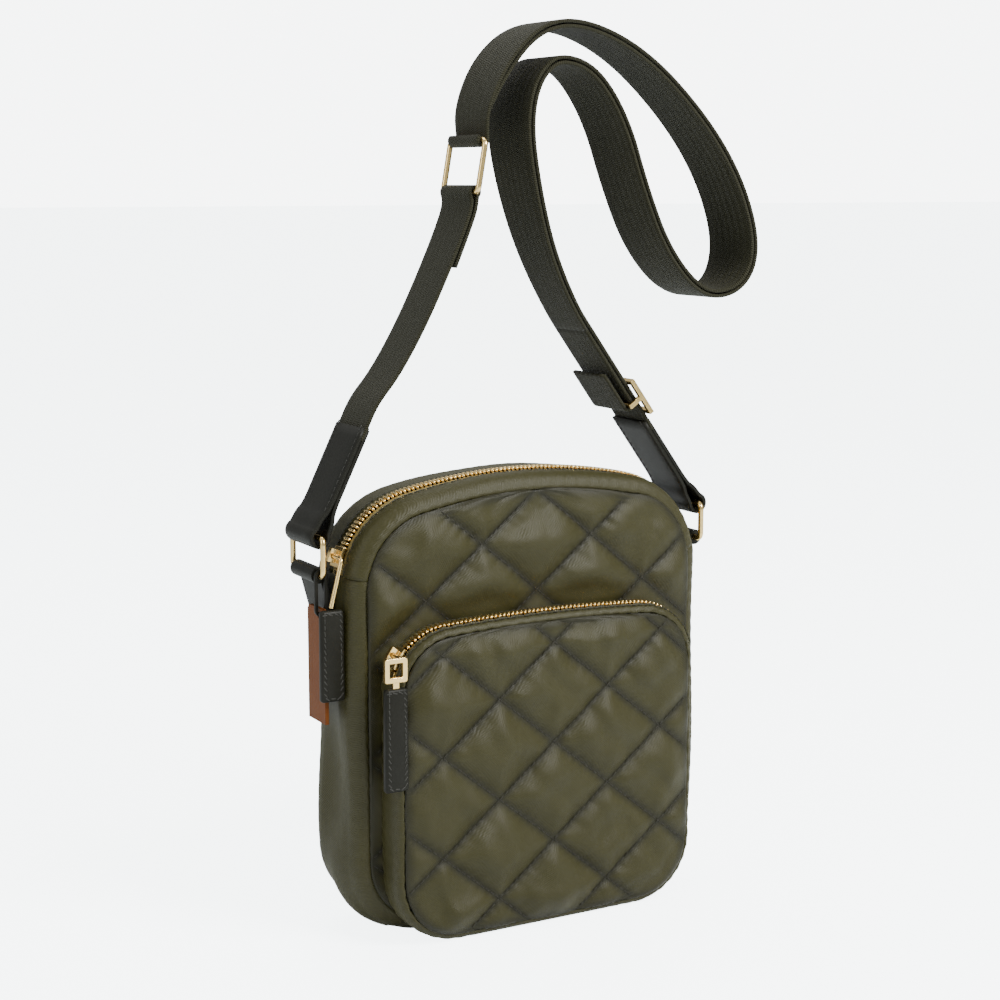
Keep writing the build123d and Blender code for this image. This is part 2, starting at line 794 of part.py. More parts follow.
tag_slot_low = strap_y - ring_half + wire_radius
tag_slot_high = strap_y - tab_strip_width / 2
tag_loop_y = (tag_slot_low + tag_slot_high) / 2
tag_x = -ring_x
loop_inner = wire_radius + tag_loop_clearance
tag_hole_z = ring_bottom_z - tag_loop_length - loop_inner - tag_loop_thickness / 2
tag_hole_radius = tag_loop_thickness + fold_clearance
tag_top_z = tag_hole_z + 2 * tag_hole_radius
tag_low_y = main_pull_y + tab_thickness / 2 + tag_side_gap
with BuildPart() as tag_loop:
    with BuildSketch(upright(tag_loop_y + tag_loop_thickness / 2)):
        with Locations((tag_x, ring_bottom_z - tag_loop_length / 2)):
            SlotCenterToCenter(tag_loop_length, 2 * loop_inner + 2 * tag_loop_thickness, rotation=90)
            SlotCenterToCenter(tag_loop_length, 2 * loop_inner, rotation=90, mode=Mode.SUBTRACT)
    extrude(amount=tag_loop_thickness)
save(tag_loop, "tag_loop")

with BuildPart() as hang_tag:
    with BuildSketch(Plane.YZ.offset(tag_x - tag_thickness / 2)):
        with Locations((tag_low_y + tag_width / 2, tag_top_z - tag_height / 2)):
            Rectangle(tag_width, tag_height)
        chamfer(vertices().group_by(Axis.Y)[-1], tag_thickness)
        with Locations((tag_loop_y, tag_hole_z)):
            Circle(tag_hole_radius, mode=Mode.SUBTRACT)
    extrude(amount=tag_thickness)
save(hang_tag, "hang_tag")
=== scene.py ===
import json
import math

import bmesh
import bpy
import numpy as np
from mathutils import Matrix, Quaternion, Vector
from mathutils.bvhtree import BVHTree


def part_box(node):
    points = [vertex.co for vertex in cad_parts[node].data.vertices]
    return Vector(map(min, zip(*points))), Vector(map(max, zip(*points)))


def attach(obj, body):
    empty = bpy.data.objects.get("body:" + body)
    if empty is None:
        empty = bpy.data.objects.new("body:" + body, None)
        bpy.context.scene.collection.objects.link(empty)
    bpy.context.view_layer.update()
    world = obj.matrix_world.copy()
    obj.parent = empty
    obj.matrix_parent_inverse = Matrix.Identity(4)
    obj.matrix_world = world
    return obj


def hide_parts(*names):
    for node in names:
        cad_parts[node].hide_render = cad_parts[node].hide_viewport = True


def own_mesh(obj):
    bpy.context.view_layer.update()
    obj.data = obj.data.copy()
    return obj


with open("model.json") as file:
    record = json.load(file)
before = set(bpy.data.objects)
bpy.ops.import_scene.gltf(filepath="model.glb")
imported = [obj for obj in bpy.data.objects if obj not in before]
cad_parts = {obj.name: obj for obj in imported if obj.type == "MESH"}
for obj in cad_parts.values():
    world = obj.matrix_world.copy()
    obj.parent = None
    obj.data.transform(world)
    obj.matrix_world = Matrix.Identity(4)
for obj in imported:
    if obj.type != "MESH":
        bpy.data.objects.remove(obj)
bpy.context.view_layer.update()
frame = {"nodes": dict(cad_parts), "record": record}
print("stage: frame loaded")

# Shapes, in metres

bagShape = {"halfWidth": 0.103, "height": 0.233, "topRadius": 0.300, "shoulder": 0.048, "corner": 0.042}
pocketShape = {"halfWidth": 0.0875, "height": 0.1635, "topRadius": 0.900, "shoulder": 0.032, "corner": 0.035}
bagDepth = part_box("back_panel")[1].y
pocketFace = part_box("pocket_front_panel")[0].y
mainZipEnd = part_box("main_zip_stops")[0].z
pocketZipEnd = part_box("pocket_zip_stops")[0].z
mainZipY = (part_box("main_zip_stops")[0].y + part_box("main_zip_stops")[1].y) / 2
pocketZipY = (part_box("pocket_zip_stops")[0].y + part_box("pocket_zip_stops")[1].y) / 2
strapY = (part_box("strap_ring")[0].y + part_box("strap_ring")[1].y) / 2


def outlinePath(shape, step=0.0025):
    # closed outline in X and Z with its outward normals, from the base's middle round by the right side
    w, h, top = shape["halfWidth"], shape["height"], shape["topRadius"]
    shoulder, corner = shape["shoulder"], shape["corner"]
    shoulderX = w - shoulder
    shoulderZ = h - top + math.sqrt((top - shoulder) ** 2 - shoulderX**2)
    lean = math.atan2(shoulderX, shoulderZ - (h - top))
    points = []

    def line(x0, z0, x1, z1, nx, nz):
        count = max(2, int(math.hypot(x1 - x0, z1 - z0) / step))
        for i in range(count):
            t = i / count
            points.append((x0 + (x1 - x0) * t, z0 + (z1 - z0) * t, nx, nz))

    def arc(cx, cz, radius, start, end):
        count = max(4, int(abs(end - start) * radius / step))
        for i in range(count):
            a = start + (end - start) * i / count
            points.append((cx + radius * math.cos(a), cz + radius * math.sin(a), math.cos(a), math.sin(a)))

    quarter = math.pi / 2
    line(0, 0, w - corner, 0, 0, -1)
    arc(w - corner, corner, corner, -quarter, 0)
    line(w, corner, w, shoulderZ, 1, 0)
    arc(shoulderX, shoulderZ, shoulder, 0, quarter - lean)
    arc(0, h - top, top, quarter - lean, quarter + lean)
    arc(-shoulderX, shoulderZ, shoulder, quarter + lean, math.pi)
    line(-w, shoulderZ, -w, corner, -1, 0)
    arc(-w + corner, corner, corner, math.pi, math.pi + quarter)
    line(-w + corner, 0, 0, 0, 0, -1)
    return np.array(points)


def smoothNoise(x, y, seed):
    # sum of a few plane waves, about -1 to 1
    rng = np.random.default_rng(seed)
    total = np.zeros_like(x)
    for _ in range(7):
        angle = rng.uniform(0, 2 * math.pi)
        scale = rng.uniform(0.6, 1.7)
        total += np.sin((x * math.cos(angle) + y * math.sin(angle)) * scale + rng.uniform(0, 6.3))
    return total / 3.2


# Mesh helpers


def makeMesh(name, verts, faces, uvs=None):
    mesh = bpy.data.meshes.new(name)
    mesh.from_pydata([tuple(v) for v in verts], [], [tuple(f) for f in faces])
    if uvs is not None:
        layer = mesh.uv_layers.new(name="UVMap")
        loops = np.array([uvs[l.vertex_index] for l in mesh.loops], dtype=np.float32)
        layer.data.foreach_set("uv", loops.ravel())
    mesh.polygons.foreach_set("use_smooth", [True] * len(mesh.polygons))
    obj = bpy.data.objects.new(name, mesh)
    bpy.context.scene.collection.objects.link(obj)
    return obj


def applyModifiers(obj):
    graph = bpy.context.evaluated_depsgraph_get()
    mesh = bpy.data.meshes.new_from_object(obj.evaluated_get(graph))
    obj.modifiers.clear()
    obj.data = mesh


def gridFaces(rows, columns, closeRows=False):
    faces = []
    for i in range(rows if closeRows else rows - 1):
        for j in range(columns - 1):
            a = i * columns + j
            b = ((i + 1) % rows) * columns + j
            faces.append((a, b, b + 1, a + 1))
    return faces


def solidify(obj, thickness, offset=-1.0):
    modifier = obj.modifiers.new("thickness", "SOLIDIFY")
    modifier.thickness = thickness
    modifier.offset = offset
    applyModifiers(obj)


# Shader node groups: they put out values, colours and normals only


def newGroup(name, inputs, outputs):
    group = bpy.data.node_groups.new(name, "ShaderNodeTree")
    for label, kind, value in inputs:
        socket = group.interface.new_socket(label, in_out="INPUT", socket_type=kind)
        if value is not None:
            socket.default_value = value
    for label, kind in outputs:
        group.interface.new_socket(label, in_out="OUTPUT", socket_type=kind)
    return group, group.nodes.new("NodeGroupInput"), group.nodes.new("NodeGroupOutput")


def node(tree, kind, settings=None, values=None):
    made = tree.nodes.new(kind)
    for key, value in (settings or {}).items():
        setattr(made, key, value)
    for key, value in (values or {}).items():
        made.inputs[key].default_value = value
    return made


def mathNode(tree, operation, first, second=None):
    made = node(tree, "ShaderNodeMath", {"operation": operation})
    for i, value in enumerate((first, second)):
        if value is None:
            continue
        if isinstance(value, (int, float)):
            made.inputs[i].default_value = value
        else:
            tree.links.new(value, made.inputs[i])
    return made.outputs[0]


def weaveGroup():
    # plain weave from two crossing waves; Height is the threads' relief, Shade a soft unevenness
    group, ins, outs = newGroup(
        "plainWeave",
        [("Vector", "NodeSocketVector", None), ("Threads per metre", "NodeSocketFloat", 1500.0),
         ("Unevenness", "NodeSocketFloat", 0.5)],
        [("Height", "NodeSocketFloat"), ("Shade", "NodeSocketFloat")],
    )
    link = group.links.new
    split = node(group, "ShaderNodeSeparateXYZ")
    link(ins.outputs["Vector"], split.inputs[0])
    flat = mathNode(group, "ADD", split.outputs["X"], split.outputs["Y"])
    rate = mathNode(group, "MULTIPLY", ins.outputs["Threads per metre"], math.pi)
    across = mathNode(group, "SINE", mathNode(group, "MULTIPLY", flat, rate))
    along = mathNode(group, "SINE", mathNode(group, "MULTIPLY", split.outputs["Z"], rate))
    link(mathNode(group, "MULTIPLY", across, along), outs.inputs["Height"])
    cloud = node(group, "ShaderNodeTexNoise", None, {"Scale": 38.0, "Detail": 4.0, "Roughness": 0.6})
    link(ins.outputs["Vector"], cloud.inputs["Vector"])
    spread = mathNode(group, "MULTIPLY", mathNode(group, "SUBTRACT", cloud.outputs["Fac"], 0.5),
                      ins.outputs["Unevenness"])
    link(mathNode(group, "ADD", spread, 0.5), outs.inputs["Shade"])
    return group


def ribGroup():
    # webbing: slanted ribs that change way from column to column, from UV in metres
    group, ins, outs = newGroup(
        "webbingRibs",
        [("UV", "NodeSocketVector", None), ("Rib pitch", "NodeSocketFloat", 0.0011),
         ("Column pitch", "NodeSocketFloat", 0.0022)],
        [("Height", "NodeSocketFloat"), ("Shade", "NodeSocketFloat")],
    )
    link = group.links.new
    split = node(group, "ShaderNodeSeparateXYZ")
    link(ins.outputs["UV"], split.inputs[0])
    columns = mathNode(group, "DIVIDE", split.outputs["X"], ins.outputs["Column pitch"])
    zig = mathNode(group, "PINGPONG", columns, 1.0)
    slant = mathNode(group, "MULTIPLY", zig, 0.9)
    lengths = mathNode(group, "DIVIDE", split.outputs["Y"], ins.outputs["Rib pitch"])
    rows = mathNode(group, "ADD", lengths, slant)
    ribs = mathNode(group, "SINE", mathNode(group, "MULTIPLY", rows, 2 * math.pi))
    edges = mathNode(group, "SINE", mathNode(group, "MULTIPLY", columns, math.pi))
    link(mathNode(group, "ADD", ribs, mathNode(group, "MULTIPLY", edges, 0.22)), outs.inputs["Height"])
    # painted shade: the colour follows the rib height, darker in the rib hollows and lighter on the crests
    link(mathNode(group, "ADD", mathNode(group, "MULTIPLY", ribs, 0.22), 0.5), outs.inputs["Shade"])
    return group


def grainGroup():
    # fine pebbled leather grain; Wear is a soft unevenness of its colour
    group, ins, outs = newGroup(
        "leatherGrain",
        [("Vector", "NodeSocketVector", None), ("Cell scale", "NodeSocketFloat", 900.0)],
        [("Height", "NodeSocketFloat"), ("Wear", "NodeSocketFloat")],
    )
    link = group.links.new
    cells = node(group, "ShaderNodeTexVoronoi", {"feature": "F1"})
    link(ins.outputs["Vector"], cells.inputs["Vector"])
    link(ins.outputs["Cell scale"], cells.inputs["Scale"])
    link(mathNode(group, "MULTIPLY", cells.outputs["Distance"], -1.0), outs.inputs["Height"])
    cloud = node(group, "ShaderNodeTexNoise", None, {"Scale": 70.0, "Detail": 5.0, "Roughness": 0.65})
    link(ins.outputs["Vector"], cloud.inputs["Vector"])
    link(cloud.outputs["Fac"], outs.inputs["Wear"])
    return group


groups = {"weave": weaveGroup(), "ribs": ribGroup(), "grain": grainGroup()}


def newMaterial(name, values):
    material = bpy.data.materials.new(name)
    material.use_nodes = True
    tree = material.node_tree
    shader = tree.nodes["Principled BSDF"]
    for key, value in values.items():
        shader.inputs[key].default_value = value
    return material, tree, shader


# how far the painted shade in a stitched seam darkens the cloth's dark colour
paintedSeamShade = 0.22


def colourMix(tree, factor, dark, light, shader, crease=None):
    mix = node(tree, "ShaderNodeMix", {"data_type": "RGBA"})
    tree.links.new(factor, mix.inputs["Factor"])
    mix.inputs["A"].default_value = (*dark, 1)
    mix.inputs["B"].default_value = (*light, 1)
    colour = mix.outputs["Result"]
    if crease:
        # painted shade: the cloth's colour is darkened down in a stitched seam, where shade falls
        paintedShadeMix = node(tree, "ShaderNodeMix", {"data_type": "RGBA"})
        tree.links.new(crease, paintedShadeMix.inputs["Factor"])
        tree.links.new(colour, paintedShadeMix.inputs["A"])
        paintedShadeMix.inputs["B"].default_value = (*[c * paintedSeamShade for c in dark], 1)
        colour = paintedShadeMix.outputs["Result"]
    tree.links.new(colour, shader.inputs["Base Color"])


def fabricMaterial(name, dark, light, threads, relief, values):
    material, tree, shader = newMaterial(name, values)
    place = node(tree, "ShaderNodeTexCoord")
    weave = node(tree, "ShaderNodeGroup", {"node_tree": groups["weave"]}, {"Threads per metre": threads})
    tree.links.new(place.outputs["Object"], weave.inputs["Vector"])
    # painted shade: the crease attribute lowers the weave's colour mix and darkens the cloth along stitch
    # lines and edge seams
    crease = node(tree, "ShaderNodeAttribute", {"attribute_name": "crease"})
    shade = mathNode(tree, "SUBTRACT", weave.outputs["Shade"], crease.outputs["Fac"])
    colourMix(tree, shade, dark, light, shader, crease.outputs["Fac"])
    bump = node(tree, "ShaderNodeBump", None, {"Strength": 0.5, "Distance": relief})
    tree.links.new(weave.outputs["Height"], bump.inputs["Height"])
    tree.links.new(bump.outputs["Normal"], shader.inputs["Normal"])
    return material


def webbingMaterial(name, dark, light):
    material, tree, shader = newMaterial(
        name, {"Roughness": 0.68, "Sheen Weight": 0.05, "Sheen Roughness": 0.4, "Specular IOR Level": 0.22}
    )
    place = node(tree, "ShaderNodeUVMap", {"uv_map": "UVMap"})
    ribs = node(tree, "ShaderNodeGroup", {"node_tree": groups["ribs"]})
    tree.links.new(place.outputs["UV"], ribs.inputs["UV"])
    # the rib colour is painted shade, darker in the rib hollows and lighter on the crests
    colourMix(tree, ribs.outputs["Shade"], dark, light, shader)
    bump = node(tree, "ShaderNodeBump", None, {"Strength": 0.8, "Distance": 0.0003})
    tree.links.new(ribs.outputs["Height"], bump.inputs["Height"])
    tree.links.new(bump.outputs["Normal"], shader.inputs["Normal"])
    return material


def leatherMaterial(name, dark, light, edge, roughness):
    material, tree, shader = newMaterial(name, {"Roughness": roughness, "Specular IOR Level": 0.17})
    place = node(tree, "ShaderNodeTexCoord")
    grain = node(tree, "ShaderNodeGroup", {"node_tree": groups["grain"]})
    tree.links.new(place.outputs["Object"], grain.inputs["Vector"])
    colourMix(tree, grain.outputs["Wear"], dark, light, shader)
    rounded = node(tree, "ShaderNodeBevel", {"samples": 6}, {"Radius": edge})
    bump = node(tree, "ShaderNodeBump", None, {"Strength": 0.35, "Distance": 0.00015})
    tree.links.new(grain.outputs["Height"], bump.inputs["Height"])
    tree.links.new(rounded.outputs["Normal"], bump.inputs["Normal"])
    tree.links.new(bump.outputs["Normal"], shader.inputs["Normal"])
    return material


def goldMaterial(name, colour, roughness):
    material, tree, shader = newMaterial(name, {"Metallic": 1.0, "Base Color": (*colour, 1)})
    place = node(tree, "ShaderNodeTexCoord")
    cloud = node(tree, "ShaderNodeTexNoise", None, {"Scale": 260.0, "Detail": 4.0})
    tree.links.new(place.outputs["Object"], cloud.inputs["Vector"])
    uneven = mathNode(tree, "MULTIPLY", cloud.outputs["Fac"], 0.14)
    tree.links.new(mathNode(tree, "ADD", uneven, roughness), shader.inputs["Roughness"])
    rounded = node(tree, "ShaderNodeBevel", {"samples": 6}, {"Radius": 0.0004})
    tree.links.new(rounded.outputs["Normal"], shader.inputs["Normal"])
    return material


nylonValues = {"Roughness": 0.48, "Sheen Weight": 0.08, "Sheen Roughness": 0.3, "Specular IOR Level": 0.3,
               "Sheen Tint": (0.85, 0.8, 0.5, 1)}
materials = {
    "nylon": fabricMaterial("oliveNylon", (0.0225, 0.0203, 0.0032), (0.0380, 0.0340, 0.0072), 1700.0, 0.00012,
                            nylonValues),
    "lining": fabricMaterial("liningCloth", (0.05, 0.045, 0.025), (0.07, 0.062, 0.035), 1500.0, 0.0001,
                             {"Roughness": 0.8}),
    "tape": fabricMaterial("zipTape", (0.16, 0.125, 0.040), (0.24, 0.19, 0.065), 1100.0, 0.0002,
                           {"Roughness": 0.65}),
    "webbing": webbingMaterial("ribbedWebbing", (0.0100, 0.0095, 0.0030), (0.0280, 0.0262, 0.0095)),
    "leather": leatherMaterial("blackLeather", (0.0065, 0.0062, 0.004), (0.014, 0.0135, 0.009), 0.0007,
                               0.47),
    "tan": leatherMaterial("tanLeather", (0.10, 0.026, 0.003), (0.16, 0.048, 0.006), 0.0004, 0.5),
    "gold": goldMaterial("paleGold", (0.92, 0.66, 0.27), 0.14),
    # this thread, used for quilting and topstitching, is coloured darker than the olive nylon it matches: its
    # own olive with painted shade for the dark stitched lines
    "thread": newMaterial("oliveThread", {"Base Color": (0.014, 0.0125, 0.0045, 1), "Roughness": 0.7})[0],
    "darkThread": newMaterial("blackThread", {"Base Color": (0.022, 0.021, 0.016, 1), "Roughness": 0.6})[0],
}
cadFinish = {
    "lining": "lining", "zip_tape": "tape", "gold": "gold", "black_leather": "leather",
    "brown_leather": "tan", "plain_nylon": "nylon", "quilted_nylon": "nylon",
}
for part in frame["record"]["subparts"]:
    finish = cadFinish.get(part["material_slot"])
    if finish:
        cadNode = frame["nodes"][part["node"]]
        cadNode.data.materials.clear()
        cadNode.data.materials.append(materials[finish])
print("stage: materials")


def place(obj, material, body, slotName, nodes=()):
    obj.data.materials.clear()
    obj.data.materials.append(materials[material])
    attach(obj, body)
    if nodes:
        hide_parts(*nodes)


# Quilted panels: a padded sheet, held at its stitch lines and edge, filled by a cloth simulation

quilt = {"width": 0.064, "height": 0.052, "puff": 0.0088, "lineWidth": 0.0016, "crease": 0.0032,
         "creaseShade": 0.8, "gridStep": 0.0024, "edgeFade": 0.012, "fadePower": 0.6, "hillPower": 2.4,
         "startShare": 0.75, "uneven": 0.0006, "unevenRate": 260, "edgeHeld": 0.0015, "ironing": 5,
         "capOut": 0.0035, "capSide": 0.0018, "pucker": 0.0007, "puckersPerSide": 7, "puckerRate": 90,
         "seamShade": 0.6, "seamReach": 0.003, "shell": 0.0012}
puffing = {"frames": 18, "quality": 6, "mass": 0.15, "stretch": 18, "shear": 6, "bending": 0.15,
           "pressure": 4.0, "shrink": -0.06}
pocketRoom = {"least": 0.3, "sliderReach": 0.007, "rise": 0.010}

def quiltPhase(x, z, centre):
    u = (x - centre[0]) / quilt["width"] + (z - centre[1]) / quilt["height"]
    v = (x - centre[0]) / quilt["width"] - (z - centre[1]) / quilt["height"]
    return u, v


def edgeDistance(x, z, outline, inset):
    edge = outline[:, :2] - outline[:, 2:] * inset
    best = np.full(x.shape, 1.0)
    for ex, ez in edge:
        best = np.minimum(best, np.hypot(x - ex, z - ez))
    return best


def pocketClearance(x, z):
    # least behind the pocket and where its slider runs, rising to 1 away from it
    outline = outlinePath(pocketShape, 0.001)
    right = outline[outline[:, 0] >= 0]
    right = right[np.argsort(right[:, 1])]
    covered = np.abs(x) < np.interp(z, right[:, 1], right[:, 0], right=-1)
    away = np.where(covered, 0, edgeDistance(x, z, outline, 0))
    rise = np.clip((away - pocketRoom["sliderReach"]) / pocketRoom["rise"], 0, 1)
    return pocketRoom["least"] + (1 - pocketRoom["least"]) * rise


def panelGrid(shape, inset, step):
    # rows across the panel, closer together at its top and base, and each point's distance from the edge
    outline = outlinePath(shape, 0.001)
    edge = outline[:, :2] - outline[:, 2:] * inset
    low, high = edge[:, 1].min(), edge[:, 1].max()
    rows = int((high - low) / step)
    columns = int(2 * (shape["halfWidth"] - inset) / step)
    right = edge[edge[:, 0] >= 0]
    right = right[np.argsort(right[:, 1])]
    graded = (1 - np.cos(np.linspace(0.02, math.pi - 0.02, rows))) / 2
    z = low + (high - low) * (0.6 * np.linspace(0.0005, 0.9995, rows) + 0.4 * graded)
    width = np.interp(z, right[:, 1], right[:, 0])
    side = np.linspace(-1, 1, columns)
    x = width[:, None] * side[None, :]
    z = np.repeat(z[:, None], columns, 1)
    return x, z, edgeDistance(x, z, outline, inset)


def simulatePuff(obj, pin):
    group = obj.vertex_groups.new(name="held")
    for index, weight in enumerate(pin):
        if weight > 0.01:
            group.add([index], float(weight), "REPLACE")
    cloth = obj.modifiers.new("puff", "CLOTH")
    settings = cloth.settings
    settings.vertex_group_mass = "held"
    settings.quality = puffing["quality"]
    settings.mass = puffing["mass"]
    settings.tension_stiffness = puffing["stretch"]
    settings.compression_stiffness = puffing["stretch"]
    settings.shear_stiffness = puffing["shear"]
    settings.bending_stiffness = puffing["bending"]
    settings.use_pressure = True
    settings.uniform_pressure_force = puffing["pressure"]
    settings.shrink_min = puffing["shrink"]
    settings.effector_weights.gravity = 0
    cloth.collision_settings.use_collision = False
    cloth.point_cache.frame_start = 1
    cloth.point_cache.frame_end = puffing["frames"]
    scene = bpy.context.scene
    for number in range(1, puffing["frames"] + 1):
        scene.frame_set(number)
    applyModifiers(obj)
    scene.frame_set(1)


def quiltedPanel(name, shape, inset, y, outward, centre, seed, nodes, clearance=None):
    # outward is -1 for a front face and 1 for a back face
    x, z, border = panelGrid(shape, inset, quilt["gridStep"])
    u, v = quiltPhase(x, z, centre)
    lines = np.minimum(np.abs(u - np.round(u)), np.abs(v - np.round(v)))
    fade = np.clip(border / quilt["edgeFade"], 0, 1) ** quilt["fadePower"]
    hill = (1 - (1 - np.clip(lines * 2, 0, 1)) ** quilt["hillPower"]) * fade
    room = clearance(x, z) if clearance else np.ones(x.shape)
    hill = hill * room
    puff = quilt["puff"] * hill
    rough = smoothNoise(x * quilt["unevenRate"], z * quilt["unevenRate"], seed)
    start = y + outward * (puff * quilt["startShare"] + quilt["uneven"] * rough * fade * hill)
    verts = np.stack([x.ravel(), start.ravel(), z.ravel()], 1)
    faces = gridFaces(*x.shape)
    if outward > 0:
        faces = [f[::-1] for f in faces]
    obj = makeMesh(name, verts, faces)
    lineReach = quilt["lineWidth"] / quilt["width"]
    pin = np.where(lines.ravel() < lineReach, 1.0, 0.0)
    pin = np.maximum(pin, np.where(border.ravel() < quilt["edgeHeld"], 1.0, 0.0))
    simulatePuff(obj, pin)
    moved = np.array([vert.co for vert in obj.data.vertices])
    shift = (moved - verts).reshape(*x.shape, 3)
    for _ in range(quilt["ironing"]):
        # fine buckles iron out and the broad ones stay
        shift[1:-1, 1:-1] = (shift[1:-1, 1:-1] * 2 + shift[:-2, 1:-1] + shift[2:, 1:-1]
                             + shift[1:-1, :-2] + shift[1:-1, 2:]) / 6
    shift = shift.reshape(-1, 3) * room.reshape(-1, 1)
    shift[:, 1] = np.clip(shift[:, 1], -quilt["capOut"], quilt["capOut"])
    shift[:, [0, 2]] = np.clip(shift[:, [0, 2]], -quilt["capSide"], quilt["capSide"])
    final = verts + shift
    # puckers run across the stitch lines and die out towards the middle of each diamond
    near = np.exp(-lines.ravel() * 9) * np.clip(lines.ravel() * 22, 0, 1) * fade.ravel()
    along = np.where(np.abs(u - np.round(u)) < np.abs(v - np.round(v)), v, u).ravel()
    wander = smoothNoise(x * quilt["puckerRate"], z * quilt["puckerRate"], seed + 1).ravel()
    pucker = np.sin(along * 2 * math.pi * quilt["puckersPerSide"] + 2.2 * wander)
    final[:, 1] += outward * quilt["pucker"] * near * pucker
    for vert, co in zip(obj.data.vertices, final):
        vert.co = co
    # painted shade: the crease attribute darkens the cloth along the stitch lines and round the edge seam,
    # where shade falls in the sewn valleys
    paintedShade = np.exp(-((lines * quilt["width"] / quilt["crease"]) ** 2)) * quilt["creaseShade"]
    paintedShade = np.maximum(paintedShade, np.exp(-((border / quilt["seamReach"]) ** 2)) * quilt["seamShade"])
    attribute = obj.data.attributes.new("crease", "FLOAT", "POINT")
    attribute.data.foreach_set("value", paintedShade.ravel().astype(np.float32))
    smooth = obj.modifiers.new("finer", "SUBSURF")
    smooth.levels = 1
    smooth.render_levels = 1
    applyModifiers(obj)
    solidify(obj, quilt["shell"])
    place(obj, "nylon", "bag", "quilted_nylon", nodes)
    print("stage:", name, len(obj.data.polygons))
    return obj


panelInset = {"bag": 0.0088, "pocket": 0.0042}
panelSeat = {"bag": 0.0010, "pocket": 0.0012}
diamondCentre = {"front": (-0.031, 0.199), "back": (0.0, 0.12), "pocket": (-0.031, 0.123)}
frontPanel = quiltedPanel("frontPanel", bagShape, panelInset["bag"], -bagDepth + panelSeat["bag"], -1,
                          diamondCentre["front"], 3, ["front_panel"], pocketClearance)
backPanel = quiltedPanel("backPanel", bagShape, panelInset["bag"], bagDepth - panelSeat["bag"], 1,
                         diamondCentre["back"], 5, ["back_panel"])
pocketPanel = quiltedPanel("pocketPanel", pocketShape, panelInset["pocket"], pocketFace + panelSeat["pocket"],
                           -1, diamondCentre["pocket"], 7, ["pocket_front_panel"])

# Gussets: strips with rounded seams round the bag and the pocket, puckered, split where the zips run

gusset = {"step": 0.002, "softEnds": 0.012, "alongRate": 75, "acrossRate": 190, "seamReach": 0.004,
          "pucker": 0.00035, "puckerPitch": 0.0075, "puckerRate": 60, "floorBand": 0.004, "floorGap": 0.0001,
          "bagRound": 0.010, "pocketRound": 0.0045, "seamTuck": 0.0012, "slotTuck": 0.0018,
          "pocketSlotTuck": 0.0016}

def gussetStrip(name, shape, profile, keep, seed, nodes, thickness, wrinkle):
    # profile is a list of (inset, y); keep chooses the outline points the strip covers
    outline = outlinePath(shape, gusset["step"])
    runs = [i for i in range(len(outline)) if keep(outline[i])]
    gap = next((k for k in range(1, len(runs)) if runs[k] != runs[k - 1] + 1), None)
    if gap:
        runs = runs[gap:] + runs[:gap]
    closed = len(runs) == len(outline)
    path = outline[runs]
    length = np.arange(len(path)) * gusset["step"]
    insets = np.array([p[0] for p in profile])
    ys = np.array([p[1] for p in profile])
    grid = np.zeros((len(path), len(profile), 3))
    around = length[:, None] * np.ones(len(profile))[None, :]
    across = np.ones(len(path))[:, None] * ys[None, :]
    reach = gusset["softEnds"]
    ends = np.clip((ys - ys.min()) / reach, 0, 1) * np.clip((ys.max() - ys) / reach, 0, 1)
    wave = smoothNoise(around * gusset["alongRate"], across * gusset["acrossRate"], seed)
    soft = wave * wrinkle * (0.35 + ends[None, :])
    seam = np.exp(-np.minimum(ys - ys.min(), ys.max() - ys) / gusset["seamReach"])[None, :]
    wander = smoothNoise(around * gusset["puckerRate"], across, seed + 3)
    pucker = gusset["pucker"] * seam * np.sin(around * 2 * math.pi / gusset["puckerPitch"] + 2.5 * wander)
    inset = insets[None, :] - soft - pucker
    # wrinkles never push through the floor
    onFloor = path[:, 1][:, None] < gusset["floorBand"]
    inset = np.where(onFloor, np.maximum(inset, np.maximum(insets[None, :], 0) + gusset["floorGap"]), inset)
    grid[:, :, 0] = path[:, 0][:, None] - path[:, 2][:, None] * inset
    grid[:, :, 2] = path[:, 1][:, None] - path[:, 3][:, None] * inset
    grid[:, :, 1] = across
    faces = gridFaces(len(path), len(profile), closed)
    obj = makeMesh(name, grid.reshape(-1, 3), faces)
    solidify(obj, thickness, 1.0)
    place(obj, "nylon", "bag", "plain_nylon", nodes)


def roundProfile(depth, roundness, rows=9):
    # from the seam's tucked edge up over the rounded shoulder of a side
    points = [(roundness * 0.93, -depth + gusset["seamTuck"])]
    for i in range(rows):
        angle = math.pi / 2 * (i + 1) / rows
        points.append((roundness * (1 - math.sin(angle)), -depth + roundness * (1 - math.cos(angle))))
    return points


bagRound, pocketRound = gusset["bagRound"], gusset["pocketRound"]
slotHalf = (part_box("main_zip_tape_back")[1].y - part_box("main_zip_tape_front")[0].y) / 2
pocketSlotHalf = (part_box("pocket_zip_tape_back")[1].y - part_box("pocket_zip_tape_front")[0].y) / 2
frontSide = roundProfile(bagDepth, bagRound)
backSide = [(inset, -y) for inset, y in reversed(frontSide)]
middle = [(-0.0006, y) for y in np.linspace(-bagDepth + bagRound + 0.003, bagDepth - bagRound - 0.003, 9)]
gussetStrip("sideGusset", bagShape, frontSide + middle + backSide, lambda p: p[1] < mainZipEnd + 0.0004, 11,
            ["side_base_gusset"], 0.0016, 0.0013)
slotFront, slotBack = mainZipY - slotHalf, mainZipY + slotHalf
zipFront = frontSide + [(0, y) for y in np.linspace(-bagDepth + bagRound + 0.001, slotFront - 0.0004, 3)]
zipFront += [(gusset["slotTuck"], slotFront + 0.0002)]
zipBack = [(gusset["slotTuck"], slotBack - 0.0002)]
zipBack += [(0, y) for y in np.linspace(slotBack + 0.0004, bagDepth - bagRound - 0.001, 6)] + backSide
